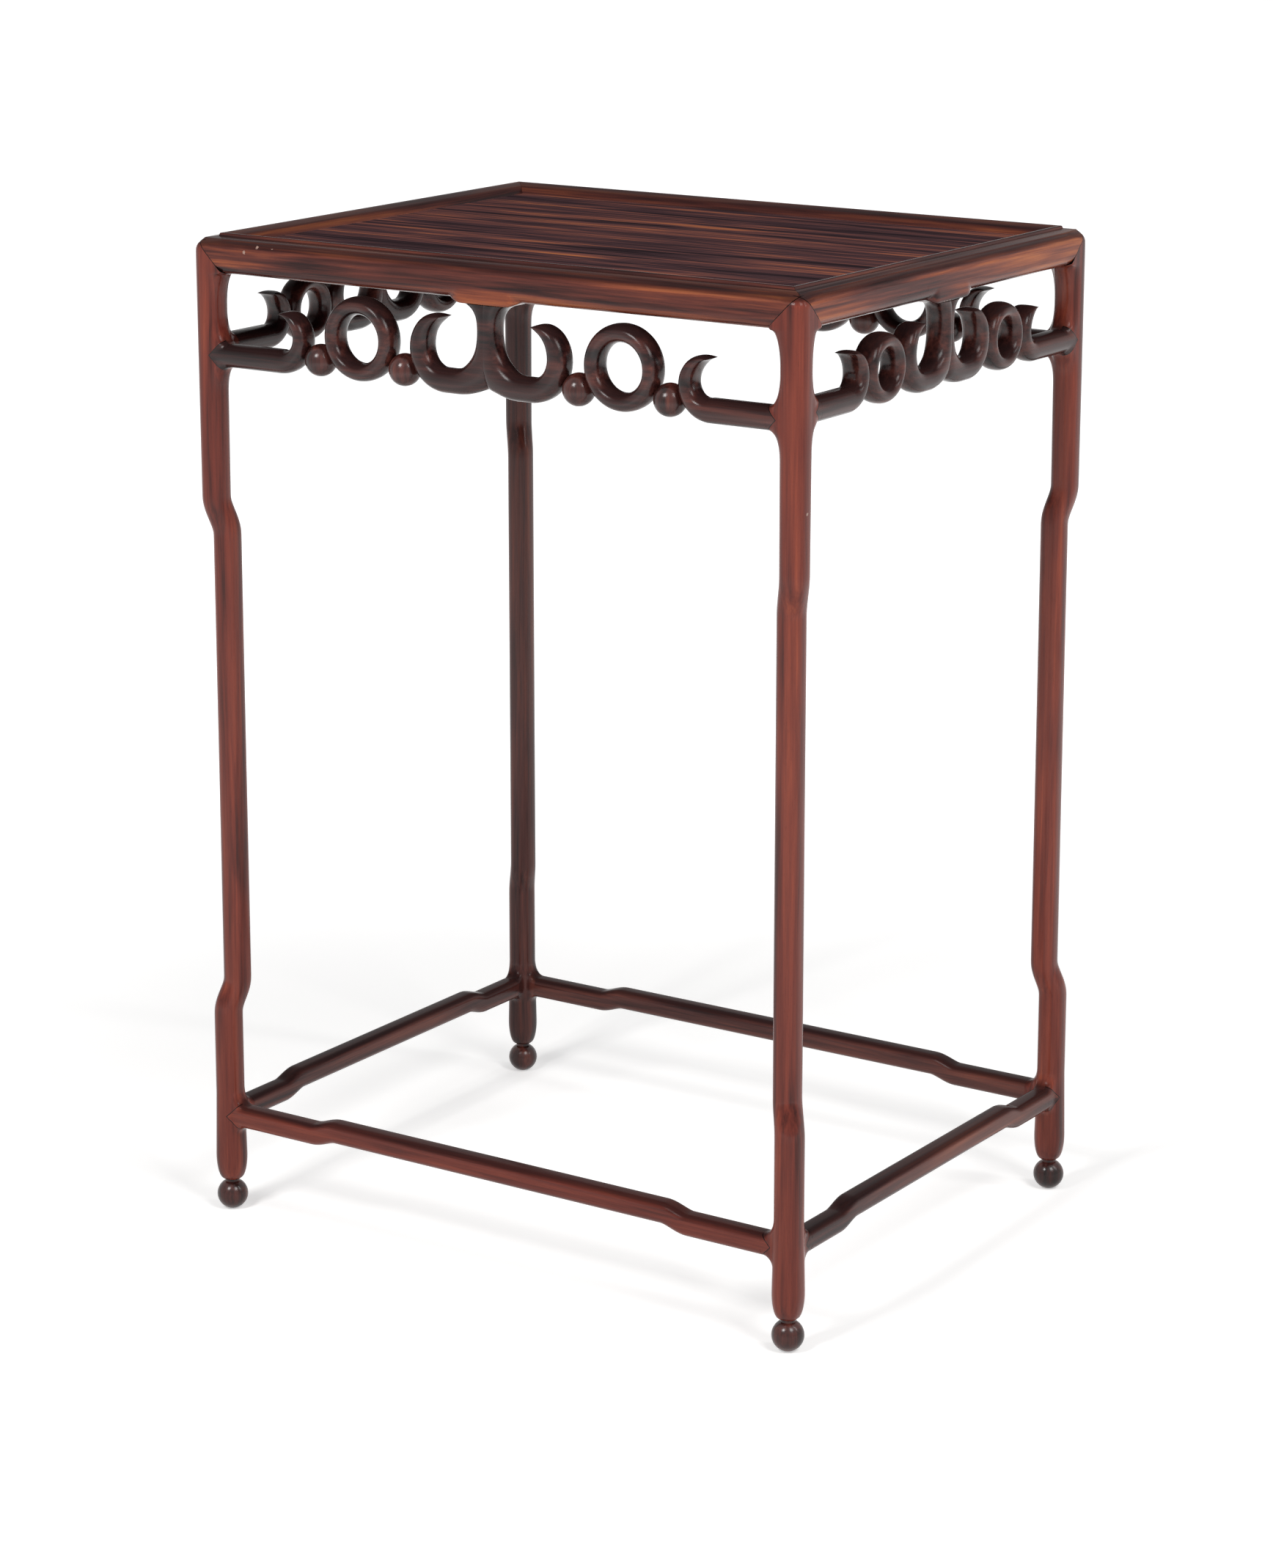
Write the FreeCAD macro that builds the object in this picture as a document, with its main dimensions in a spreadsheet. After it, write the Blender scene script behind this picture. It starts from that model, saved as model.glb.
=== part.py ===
import FreeCAD, Part
import math
import os
import Sketcher

# A small hardwood side table: a tray top with a floating panel, three-way mitred corners,
# cranked legs on ball feet, cranked stretchers, and an open apron of hooks, rings and balls.
# Frame: origin on the floor under the middle of the top, X along the long side, Z up, mm.

V = FreeCAD.Vector
UP = V(0, 0, 1)
EAST = V(1, 0, 0)
NORTH = V(0, 1, 0)
ORIGIN = V(0, 0, 0)

os.makedirs("parts", exist_ok=True)
doc = FreeCAD.newDocument("side_table")
sheet = doc.addObject("Spreadsheet::Sheet", "Sizes")

SIZES = {
    # whole table
    "table_height": 800.0,
    "leg_spacing_long": 533.0,
    "leg_spacing_short": 410.4,
    "cut_overrun": 40.0,
    # leg blank, measured across its flats, from the top down, and its bends
    "leg_width_top": 22.0,
    "leg_width_waist": 21.0,
    "leg_width_middle": 20.6,
    "leg_width_shin": 21.4,
    "leg_width_foot": 23.6,
    "leg_corner": 7.0,
    "crank_offset": 5.6,
    "upper_crank_drop": 223.0,
    "upper_crank_length": 31.0,
    "lower_crank_centre": 182.0,
    "lower_crank_length": 29.0,
    "foot_widest": 46.0,
    "leg_end": 25.2,
    "leg_end_width": 13.0,
    # turned ball feet
    "foot_ball": 25.0,
    "foot_flat": 0.3,
    "foot_neck": 11.5,
    "foot_spigot": 8.0,
    "foot_spigot_length": 16.0,
    # tray frame
    "rail_depth": 30.0,
    "rail_width": 28.5,
    "rail_under_round": 9.0,
    "rail_arris_round": 4.0,
    "rail_face_height": 25.8,
    "rail_step_inset": 5.0,
    "rail_step_rise": 0.7,
    "strip_rise": 1.2,
    "lip_inset": 15.5,
    "lip_lean": 0.6,
    "lip_width": 2.4,
    "lip_slope_inset": 24.5,
    "lip_slope_drop": 2.6,
    "stub_half_width": 21.0,
    "stub_shoulder": 6.0,
    "stub_drop": 2.5,
    # floating panel and its battens
    "tray_depth": 8.3,
    "panel_thickness": 9.0,
    "panel_gap": 0.3,
    "panel_tongue": 6.0,
    "panel_tongue_thickness": 4.0,
    "batten_width": 24.0,
    "batten_depth": 10.0,
    "batten_dovetail": 2.0,
    "batten_neck": 16.0,
    "batten_spacing": 240.0,
    "batten_tenon": 5.0,
    # joints
    "tenon_thickness": 6.0,
    "tenon_height": 9.0,
    "tenon_end": 3.5,
    "shoulder_tip": 4.0,
    "near_shoulder_tip": 11.0,
    "head_tenon_start": 5.0,
    "head_tenon_width": 5.0,
    "head_tenon_top": 18.5,
    "rail_tenon_inset": 14.0,
    "rail_tenon_width": 7.0,
    "rail_tenon_thickness": 5.0,
    "rail_tenon_length": 8.0,
    "rail_tenon_drop": 6.0,
    "dowel": 5.0,
    "dowel_length": 12.0,
    # stretchers
    "stretcher_centre": 81.5,
    "stretcher_width": 17.5,
    "stretcher_corner": 5.5,
    "stretcher_rise": 5.5,
    "stretcher_crank_run": 14.0,
    "stretcher_crank_round": 30.0,
    "long_crank_from_leg": 99.0,
    "short_crank_from_leg": 76.0,
    "stretcher_ear": 8.5,
    "stretcher_flare": 13.0,
    # aprons, all round; a drop is measured down from the table's height
    "apron_depth": 20.5,
    "apron_corner": 6.0,
    "apron_ease": 3.4,
    "apron_ear": 8.5,
    "apron_flare": 19.0,
    "post_half_width": 8.8,
    "seat_half_width": 20.8,
    "rim_bite": 0.4,
    # long aprons: double hook, ball, ring, ball, end hook
    "long_bar_height": 18.5,
    "long_double_radius": 32.2,
    "long_double_offset": 39.3,
    "long_double_drop": 71.5,
    "long_double_root": 19.0,
    "long_ring_radius": 32.6,
    "long_ring_hole": 18.6,
    "long_ring_drop": 70.0,
    "long_hook_radius": 26.5,
    "long_hook_drop": 77.0,
    "ball_diameter": 25.2,
    "ball_drop": 90.0,
    # short aprons: double hook, ring, end hook
    "short_bar_height": 19.0,
    "short_double_radius": 29.5,
    "short_double_offset": 34.0,
    "short_double_drop": 69.5,
    "short_double_root": 18.0,
    "short_ring_radius": 26.5,
    "short_ring_hole": 13.5,
    "short_ring_drop": 72.5,
    "short_hook_radius": 24.5,
    "short_hook_drop": 74.5,
}
for row, (alias, value) in enumerate(SIZES.items(), start=1):
    sheet.set("A%d" % row, alias)
    sheet.set("B%d" % row, "%.4f" % value)
    sheet.setAlias("B%d" % row, alias)
doc.recompute()


def size(alias):
    """A driving dimension, as the sheet holds it."""
    return float(sheet.get(alias))


# Places worked out from the sheet

HALF_LONG = size("leg_spacing_long") / 2
HALF_SHORT = size("leg_spacing_short") / 2
HALF_LEG = size("leg_width_top") / 2
TOP = size("table_height")
RAIL_UNDER = TOP - size("rail_depth")
SEAT = RAIL_UNDER - size("stub_drop")
PANEL_TOP = TOP - size("tray_depth")
PANEL_UNDER = PANEL_TOP - size("panel_thickness")
OVER = size("cut_overrun")
HALF_TENON = size("tenon_thickness") / 2
# where the legs' ears end, measured inward from the leg's axis
STRETCHER_SHOULDER = size("leg_width_shin") / 2 + size("stretcher_ear")
APRON_SHOULDER = HALF_LEG + size("apron_ear")

# Tables of shares, chosen by hand

# along a crank: share of its length at each station
CRANK_SHARES = (0.0, 0.15, 0.35, 0.65, 0.85, 1.0)
# degrees round the quarter ellipse that an ear or the leg's end follows
FLARE_ANGLES = (0.0, 28.0, 50.0, 70.0, 90.0)
# a horn from its tip to its root: angle above level, then shares of the outer radius,
# of the root's thickness and of the apron's depth
HORN_SHARES = (
    (84.0, 0.79, 0.04, 0.84),
    (75.0, 0.86, 0.19, 0.88),
    (62.0, 0.93, 0.37, 0.93),
    (45.0, 0.975, 0.52, 0.97),
    (22.0, 1.0, 0.62, 1.0),
    (-8.0, 1.0, 0.70, 1.0),
    (-35.0, 1.0, 0.80, 1.0),
    (-63.0, 1.0, 0.92, 1.0),
    (-90.0, 1.0, 1.0, 1.0),
)
# the most that a thin stretch of a horn is eased at each corner, as a share of its thickness
EASE_SHARE = 0.3
# how a double hook's horn runs on from its root into the post
ROOT_SHARES = ((-118.0, 0.98, 0.92, 1.0), (-142.0, 0.88, 0.66, 0.9))
# a double hook's post from its lower end to its seat: share of the height, share of the
# way from the narrowest half width to the seat's, share of the apron's depth
POST_SHARES = (
    (0.0, 0.52, 0.5),
    (0.04, 0.68, 0.84),
    (0.11, 0.74, 1.0),
    (0.2, 0.48, 1.0),
    (0.32, 0.17, 1.0),
    (0.48, 0.03, 1.0),
    (0.64, 0.0, 1.0),
    (0.78, 0.1, 1.0),
    (0.89, 0.36, 1.0),
    (0.96, 0.72, 1.0),
    (1.0, 1.0, 1.0),
)
# a double hook's lower end, below its horns' centres, as a share of their radius
POST_END_SHARE = 0.73
# the corner radius of the leg's rounded end, as a share of its width: all but a circle
LEG_END_SHARE = 0.49
# lengths that differ by less than this share of the panel's gap count as equal
SAME_SHARE = 0.001


# Document helpers

def feature(label, shape):
    """A sub-part whose shape no sketch gives."""
    made = doc.addObject("Part::Feature", label)
    made.Label = label
    made.Shape = shape.Solids[0] if len(shape.Solids) == 1 else shape
    return made


def bind(item, path, expression):
    item.setExpression(path, expression)


def origin_plane(body, role):
    return [part for part in body.Origin.OriginFeatures if part.Role == role][0]


def bound_polygon(body, role, points):
    """A closed outline on an origin plane, each corner held by two expressions."""
    sketch = body.newObject("Sketcher::SketchObject", body.Label + "_outline")
    sketch.AttachmentSupport = [(origin_plane(body, role), "")]
    sketch.MapMode = "FlatFace"
    values = [[evaluate(body, text) for text in pair] for pair in points]
    count = len(points)
    for index in range(count):
        start = V(*values[index], 0)
        stop = V(*values[(index + 1) % count], 0)
        sketch.addGeometry(Part.LineSegment(start, stop), False)
    for index in range(count):
        sketch.addConstraint(Sketcher.Constraint("Coincident", index, 2, (index + 1) % count, 1))
    for index, pair in enumerate(points):
        for kind, value, text in zip(("DistanceX", "DistanceY"), values[index], pair):
            place = sketch.addConstraint(Sketcher.Constraint(kind, -1, 1, index, 1, value))
            bind(sketch, "Constraints[%d]" % place, text)
    return sketch


def evaluate(item, text):
    value = item.evalExpression(text)
    return float(getattr(value, "Value", value))


def new_body(label):
    body = doc.addObject("PartDesign::Body", label)
    body.Label = label
    return body


def pad(body, sketch, length):
    """A pad that grows both ways from its sketch."""
    solid = body.newObject("PartDesign::Pad", body.Label + "_pad")
    solid.Profile = sketch
    solid.SideType = "Symmetric"
    bind(solid, "Length", length)
    doc.recompute()
    return solid


def round_edges(body, base, radius, chosen):
    """Fillet the edges of base that the test picks."""
    names = [
        "Edge%d" % number
        for number, edge in enumerate(base.Shape.Edges, start=1)
        if chosen(edge)
    ]
    rounding = body.newObject("PartDesign::Fillet", body.Label + "_round")
    rounding.Base = (base, names)
    bind(rounding, "Radius", radius)
    body.Tip = rounding
    doc.recompute()
    return rounding


def same(first, second):
    """Whether two lengths are equal, to well under the finest size here."""
    return abs(first - second) < size("panel_gap") * SAME_SHARE


# Shape helpers

def box(low, high):
    reach = V(*high) - V(*low)
    return Part.makeBox(reach.x, reach.y, reach.z, V(*low))


def prism(points, along):
    return Part.Face(Part.makePolygon(points + points[:1])).extrude(along)


def rounded_section(centre, across, along, half_across, half_along, corner):
    """A rounded rectangle in the plane of two unit directions."""
    sides = [
        (along * -1, half_along),
        (across, half_across),
        (along, half_along),
        (across * -1, half_across),
    ]
    sides.append(sides[0])
    corners = []
    for (first, first_half), (last, last_half) in zip(sides, sides[1:]):
        hub = centre + first * (first_half - corner) + last * (last_half - corner)
        middle = (first + last).normalize()
        corners.append((hub + first * corner, hub + middle * corner, hub + last * corner))
    edges = []
    for index, (start, middle, stop) in enumerate(corners):
        edges.append(Part.Arc(start, middle, stop).toShape())
        edges.append(Part.LineSegment(stop, corners[(index + 1) % len(corners)][0]).toShape())
    return Part.Wire(edges)


def eased_section(centre, across, along, half_across, half_along, ease):
    """A rectangle with planed-off corners in the plane of two unit directions."""
    corners = []
    for first, last in ((-1, -1), (1, -1), (1, 1), (-1, 1)):
        near = across * (first * half_across) + along * (last * (half_along - ease))
        far = across * (first * (half_across - ease)) + along * (last * half_along)
        corners += [near, far] if first == last else [far, near]
    points = [centre + corner for corner in corners]
    return Part.makePolygon(points + points[:1])


def loft(sections, ruled=False):
    return Part.makeLoft(sections, True, ruled)


def joined(shapes):
    return shapes[0].multiFuse(shapes[1:]).removeSplitter()


# Legs, in a corner frame: u along X and v along Y point inward from the leg's axis

def leg_section(height, width, offset=0.0, lean=0.0, roundness=None):
    corner = size("leg_corner") / size("leg_width_top") if roundness is None else roundness
    section = rounded_section(ORIGIN, EAST, NORTH, width / 2, width / 2, width * corner)
    section.rotate(ORIGIN, EAST - NORTH, lean)
    section.translate(V(offset, offset, height))
    return section


def crank(centre, length, start, stop, width_below, width_above):
    """An S-bend whose sections stay square to its path."""
    sections = []
    for share in CRANK_SHARES:
        blend = share * share * (3 - 2 * share)
        offset = start + (stop - start) * blend
        slope = (stop - start) * 6 * share * (1 - share) / length
        lean = -math.degrees(math.atan(slope * math.sqrt(2)))
        width = width_below + (width_above - width_below) * share
        sections.append(leg_section(centre + length * (share - 1 / 2), width, offset, lean))
    return loft(sections, True)


def leg_column():
    offset = size("crank_offset")
    low_centre, low_length = size("lower_crank_centre"), size("lower_crank_length")
    high_centre, high_length = TOP - size("upper_crank_drop"), size("upper_crank_length")
    waist, middle = size("leg_width_waist"), size("leg_width_middle")
    shin, foot = size("leg_width_shin"), size("leg_width_foot")
    end, end_width, widest = size("leg_end"), size("leg_end_width"), size("foot_widest")
    square = size("leg_corner") / size("leg_width_top")
    dome = []
    for angle in FLARE_ANGLES:
        rise, spread = 1 - math.cos(math.radians(angle)), math.sin(math.radians(angle))
        roundness = LEG_END_SHARE + (square - LEG_END_SHARE) * spread
        width = end_width + (foot - end_width) * spread
        dome.append(leg_section(end + (widest - end) * rise, width, roundness=roundness))
    low_start, low_stop = low_centre - low_length / 2, low_centre + low_length / 2
    high_start, high_stop = high_centre - high_length / 2, high_centre + high_length / 2
    knee = size("stretcher_centre") + size("stretcher_width")
    return joined([
        loft(dome, True),
        loft([leg_section(widest, foot), leg_section(knee, shin)], True),
        loft([leg_section(knee, shin), leg_section(low_start, shin)], True),
        crank(low_centre, low_length, 0.0, offset, shin, middle),
        loft([leg_section(low_stop, middle, offset), leg_section(high_start, middle, offset)], True),
        crank(high_centre, high_length, offset, 0.0, middle, waist),
        loft([leg_section(high_stop, waist), leg_section(RAIL_UNDER, 2 * HALF_LEG)], True),
    ])


def ear(across, beside, stations, depth, corner):
    """A flared stub on the leg: stations are distance from the axis, low and high."""
    sections = []
    for reach, low, high in stations:
        centre = across * reach + UP * ((low + high) / 2)
        sections.append(rounded_section(centre, beside, UP, depth / 2, (high - low) / 2, corner))
    inside = Part.Face(sections[-1]).extrude(across * -stations[-1][0])
    return loft(sections, True).fuse(inside)


def flare(angle, face, reach, height):
    """Distance from the axis and growth in height at an angle round the flare."""
    turn = math.radians(angle)
    return face + reach * (1 - math.sin(turn)), height * (1 - math.cos(turn))


def stretcher_ear(across, beside):
    half, centre = size("stretcher_width") / 2, size("stretcher_centre")
    stations = []
    for angle in FLARE_ANGLES:
        reach, growth = flare(
            angle, size("leg_width_shin") / 2, size("stretcher_ear"), size("stretcher_flare")
        )
        stations.append((reach, centre - half - growth, centre + half + growth))
    return ear(across, beside, stations, size("stretcher_width"), size("stretcher_corner"))


def bar_levels(kind):
    """The underside and top of an apron's bar: the end hook's root is the bar."""
    low = TOP - size(kind + "_hook_drop") - size(kind + "_hook_radius")
    return low, low + size(kind + "_bar_height")


def scoop_half_height(kind, inset):
    """Half the height of the scoop between bar and rail, at a distance past the leg's face."""
    chord = (RAIL_UNDER - bar_levels(kind)[1]) / 2
    deep = size("apron_ear")
    radius = (chord * chord + deep * deep) / (2 * deep)
    return math.sqrt(2 * radius * inset - inset * inset)


def apron_ears(across, beside, kind):
    """The ear that takes the apron's bar, and the leg's head under the rail."""
    low, high = bar_levels(kind)
    waist = (high + RAIL_UNDER) / 2
    lower, upper = [], []
    for angle in FLARE_ANGLES:
        reach, growth = flare(angle, HALF_LEG, size("apron_ear"), size("apron_flare"))
        scoop = scoop_half_height(kind, reach - HALF_LEG)
        lower.append((reach, low - growth, waist - scoop))
        upper.append((reach, waist + scoop, TOP + OVER))
    bar_ear = ear(across, beside, lower, size("apron_depth"), size("apron_corner"))
    head = ear(across, beside, upper, 2 * HALF_LEG, size("rail_under_round"))
    return bar_ear, head


def lap(across, beside, centre, tip):
    """The pointed shoulder's space: the bar's wood ends in a V on the leg's outer half."""
    start = across * tip + beside * -OVER + UP * centre
    points = [start, start + (across + UP) * OVER, start + (across - UP) * OVER]
    return prism(points, beside * (OVER - HALF_TENON))


def tenon(across, beside, centre, shoulder):
    near, far = across * size("tenon_end"), across * (shoulder + HALF_TENON)
    half = size("tenon_height") / 2
    start = near + beside * -HALF_TENON + UP * (centre - half)
    points = [start, start + (far - near), start + (far - near) + beside * (2 * HALF_TENON)]
    points.append(start + beside * (2 * HALF_TENON))
    return prism(points, UP * (2 * half))


def head_wedge():
    """The space under the two face mitres, where the leg's head meets both rails."""
    parts = []
    for across, beside in ((EAST, NORTH), (NORTH, EAST)):
        start = UP * RAIL_UNDER - (across + beside) * OVER
        foot = start + across * (OVER + APRON_SHOULDER)
        peak = start + UP * (OVER + APRON_SHOULDER)
        parts.append(prism([start, foot, peak], beside * (2 * OVER)))
    return parts[0].common(parts[1])


def head_tenon(across, beside):
    start, wide = size("head_tenon_start"), size("head_tenon_width")
    base = across * start + beside * -HALF_TENON + UP * RAIL_UNDER
    points = [base, base + across * wide, base + across * wide + beside * (2 * HALF_TENON)]
    points.append(base + beside * (2 * HALF_TENON))
    return prism(points, UP * size("head_tenon_top"))


def to_corner(shape, east, north):
    """Carry a shape from the corner frame to one of the four corners."""
    placed = shape.copy()
    placed.translate(V(-HALF_LONG, -HALF_SHORT, 0))
    if east:
        placed = placed.mirror(ORIGIN, EAST)
    if north:
        placed = placed.mirror(ORIGIN, NORTH)
    return placed


def corner_joints(tip):
    """For both directions at a corner: kind, level, shoulder and the pointed lap's space."""
    joints = {}
    for way, across, beside, kind in (("x", EAST, NORTH, "long"), ("y", NORTH, EAST, "short")):
        low, high = bar_levels(kind)
        bar = (low + high) / 2
        level = size("stretcher_centre")
        joints["stretcher_" + way] = (
            lap(across, beside, level, tip),
            tenon(across, beside, level, STRETCHER_SHOULDER),
        )
        joints["apron_" + way] = (
            lap(across, beside, bar, tip),
            tenon(across, beside, bar, APRON_SHOULDER),
        )
    return joints


# Tray frame

def rail_outline():
    """The rail's section: distance inward from its outer face, then height."""
    step = "Sizes.table_height - Sizes.rail_depth + Sizes.rail_face_height"
    under = "Sizes.table_height - Sizes.rail_depth"
    panel = "Sizes.table_height - Sizes.tray_depth"
    groove_top = panel + " - (Sizes.panel_thickness - Sizes.panel_tongue_thickness) / 2"
    return [
        ("0", under),
        ("0", step),
        ("Sizes.rail_step_inset", step),
        ("Sizes.rail_step_inset", step + " + Sizes.rail_step_rise"),
        ("Sizes.lip_inset", step + " + Sizes.rail_step_rise + Sizes.strip_rise"),
        ("Sizes.lip_inset + Sizes.lip_lean", "Sizes.table_height"),
        ("Sizes.lip_inset + Sizes.lip_lean + Sizes.lip_width", "Sizes.table_height"),
        ("Sizes.lip_slope_inset", "Sizes.table_height - Sizes.lip_slope_drop"),
        ("Sizes.rail_width", panel),
        ("Sizes.rail_width", groove_top),
        ("Sizes.rail_width - Sizes.panel_tongue", groove_top),
        ("Sizes.rail_width - Sizes.panel_tongue", groove_top + " - Sizes.panel_tongue_thickness"),
        ("Sizes.rail_width", groove_top + " - Sizes.panel_tongue_thickness"),
        ("Sizes.rail_width", under),
    ]


def rail_blank(label, role, sign, spacing, length):
    """One side of the frame before its mitres, with its outer face at the leg's."""
    body = new_body(label)
    face = "%s * (Sizes.%s / 2 + Sizes.leg_width_top / 2" % (sign, spacing)
    points = [("%s - (%s))" % (face, inset), level) for inset, level in rail_outline()]
    blank = pad(body, bound_polygon(body, role, points), "Sizes.%s + Sizes.leg_width_top" % length)
    outer = (size(spacing) / 2 + HALF_LEG) * float(sign)
    step = RAIL_UNDER + size("rail_face_height")

    def arris(edge, level):
        extent = edge.BoundBox
        low, high = (extent.YMin, extent.YMax) if role == "YZ_Plane" else (extent.XMin, extent.XMax)
        level_edge = same(extent.ZMin, level) and same(extent.ZMax, level)
        return level_edge and same(low, outer) and same(high, outer)

    under = round_edges(body, blank, "Sizes.rail_under_round", lambda edge: arris(edge, RAIL_UNDER))
    round_edges(body, under, "Sizes.rail_arris_round", lambda edge: arris(edge, step))
    return body


def frame_plan():
    """The outline of the frame in plan, with its rounded outer corners, as a tall prism."""
    wire = rounded_section(
        UP * RAIL_UNDER, EAST, NORTH, HALF_LONG + HALF_LEG, HALF_SHORT + HALF_LEG, size("leg_corner")
    )
    return Part.Face(wire).extrude(UP * OVER)


def mitre_sector(long_side, sign):
    """The wedge of the plan that belongs to one rail."""
    half_x, half_y = HALF_LONG + HALF_LEG + OVER, HALF_SHORT + HALF_LEG + OVER
    ridge = half_x - half_y
    level = RAIL_UNDER
    if long_side:
        points = [V(-half_x, sign * half_y, level), V(half_x, sign * half_y, level)]
        points += [V(ridge, 0, level), V(-ridge, 0, level)]
    else:
        points = [V(sign * half_x, -half_y, level), V(sign * half_x, half_y, level)]
        points += [V(sign * ridge, 0, level)]
    return prism(points, UP * OVER)


def rail_tenon():
    """The long rail's tongue across the mitre, in the corner frame."""
    start = size("rail_tenon_inset") - HALF_LEG
    high = TOP - size("rail_tenon_drop")
    low = high - size("rail_tenon_thickness")
    wide = size("rail_tenon_width")
    return box((start - size("rail_tenon_length"), start, low), (start + wide, start + wide, high))


def stub(out, along, centre):
    """The rail's downward stub with hollow shoulders, over a double hook's seat."""
    half, shoulder, drop = size("stub_half_width"), size("stub_shoulder"), size("stub_drop")
    depth = size("apron_depth")
    hub = centre + UP * SEAT - out * (depth / 2)
    hollow = (shoulder * shoulder + drop * drop) / (2 * drop)
    lift = hollow - math.sqrt(hollow * hollow - shoulder * shoulder / 4)
    edges = []
    ends = []
    for side in (-1, 1):
        low = hub + along * (side * half)
        middle = low + along * (side * shoulder / 2) + UP * (drop - lift)
        high = low + along * (side * shoulder) + UP * drop
        ends.append((low, middle, high))
        edges.append(Part.Arc(low, middle, high).toShape())
    (left_low, _, left_high), (right_low, _, right_high) = ends
    edges.append(Part.LineSegment(left_low, right_low).toShape())
    edges.append(Part.LineSegment(left_high, right_high).toShape())
    solid = Part.Face(Part.Wire(Part.__sortEdges__(edges))).extrude(out * depth)
    return solid


# Stretchers

def stretcher_blank(label, role, spacing, crank_from_leg):
    """A cranked bar between two shoulders, sawn to its outline and rounded along its edges."""
    body = new_body(label)
    end = "(Sizes.%s / 2 - Sizes.leg_width_shin / 2 - Sizes.stretcher_ear)" % spacing
    centre = "Sizes.%s / 2 - Sizes.%s" % (spacing, crank_from_leg)
    outer = "(%s + Sizes.stretcher_crank_run / 2)" % centre
    inner = "(%s - Sizes.stretcher_crank_run / 2)" % centre
    low = "Sizes.stretcher_centre - Sizes.stretcher_width / 2"
    high = "Sizes.stretcher_centre + Sizes.stretcher_width / 2"
    rise = " + Sizes.stretcher_rise"
    under = [(end, low), (outer, low), (inner, low + rise)]
    over = [(inner, high + rise), (outer, high), (end, high)]
    right = under[::-1]
    points = [("-" + place, level) for place, level in under] + right
    points += over[::-1] + [("-" + place, level) for place, level in over]
    blank = pad(body, bound_polygon(body, role, points), "Sizes.stretcher_width")
    half = size("stretcher_width") / 2
    tip = evaluate(body, end)

    def run(edge):
        return edge.BoundBox.XLength if role == "XZ_Plane" else edge.BoundBox.YLength

    def middle(edge):
        centre_of = edge.BoundBox.Center
        return centre_of.x if role == "XZ_Plane" else centre_of.y

    def depth(edge):
        centre_of = edge.BoundBox.Center
        return centre_of.y if role == "XZ_Plane" else centre_of.x

    def crank_corner(edge):
        return same(run(edge), 0) and same(depth(edge), 0) and abs(middle(edge)) < tip - half

    def long_edge(edge):
        return same(abs(depth(edge)), half) and not same(run(edge), 0)

    cranked = round_edges(body, blank, "Sizes.stretcher_crank_round", crank_corner)
    round_edges(body, cranked, "Sizes.stretcher_corner", long_edge)
    return body


# Aprons

def horn(hub, away, out, radius, root, stations):
    """The sections of a crescent that curls round hub and tapers to a chisel tip."""
    sections = []
    for angle, reach, thick, deep in stations:
        turn = math.radians(angle)
        outward = away * math.cos(turn) + UP * math.sin(turn)
        thickness = root * thick
        centre = hub + outward * (radius * reach - thickness / 2)
        ease = min(size("apron_ease"), thickness * EASE_SHARE)
        half_depth = size("apron_depth") * deep / 2
        sections.append(eased_section(centre, out, outward, half_depth, thickness / 2, ease))
    return sections


def end_hook(hub, away, out, kind, shoulder):
    """A crescent on the end of its bar, which runs back to the leg's ear."""
    radius, root = size(kind + "_hook_radius"), size(kind + "_bar_height")
    sections = horn(hub, away, out, radius, root, HORN_SHARES)
    bar = Part.Face(sections[-1]).extrude(away * -(shoulder - abs(hub.dot(away))))
    return loft(sections).fuse(bar)


def double_hook(centre, along, out, kind):
    """Two crescents back to back on one post, whose flared head seats under the rail."""
    radius, root = size(kind + "_double_radius"), size(kind + "_double_root")
    level, offset = TOP - size(kind + "_double_drop"), size(kind + "_double_offset")
    base = level - radius * POST_END_SHARE
    narrow, wide = size("post_half_width"), size("seat_half_width")
    post = []
    for rise, spread, deep in POST_SHARES:
        height = base + (SEAT - base) * rise
        half = narrow + (wide - narrow) * spread
        half_depth = size("apron_depth") * deep / 2
        at = centre + UP * height
        post.append(eased_section(at, along, out, half, half_depth, size("apron_ease")))
    parts = [loft(post)]
    for sign in (-1, 1):
        hub = centre + along * (sign * offset) + UP * level
        parts.append(loft(horn(hub, along * sign, out, radius, root, HORN_SHARES + ROOT_SHARES)))
    return joined(parts)


def ring_blank(label, radius, hole):
    body = new_body(label)
    half = "Sizes.apron_depth / 2"
    points = [(hole, "-" + half), (radius, "-" + half), (radius, half), (hole, half)]
    sketch = bound_polygon(body, "XZ_Plane", points)
    turned = body.newObject("PartDesign::Revolution", label + "_turned")
    turned.Profile = sketch
    turned.ReferenceAxis = (sketch, ["V_Axis"])
    doc.recompute()
    rims = [
        "Edge%d" % number
        for number, edge in enumerate(turned.Shape.Edges, start=1)
        if same(edge.BoundBox.ZLength, 0)
    ]
    eased = body.newObject("PartDesign::Chamfer", label + "_eased")
    eased.Base = (turned, rims)
    bind(eased, "Size", "Sizes.apron_ease")
    body.Tip = eased
    doc.recompute()
    return body


def stand_up(shape, hub, out):
    """Turn a piece made about the vertical so that its axis points out of its apron."""
    turned = shape.copy()
    turned.Placement = FreeCAD.Placement(hub, FreeCAD.Rotation(UP, out))
    return turned


def neighbour(place, level, radius, next_level, next_radius):
    """How far along the apron the next rim touches, a small bite deep."""
    reach = radius + next_radius - size("rim_bite")
    return place + math.sqrt(reach * reach - (level - next_level) ** 2)


def dowel(first, first_radius, second):
    """A peg across the touching point of two rims."""
    line = (second - first).normalize()
    start = first + line * (first_radius - size("dowel_length") / 2)
    return Part.makeCylinder(size("dowel") / 2, size("dowel_length"), start, line)


# Frame, panel and battens

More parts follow.
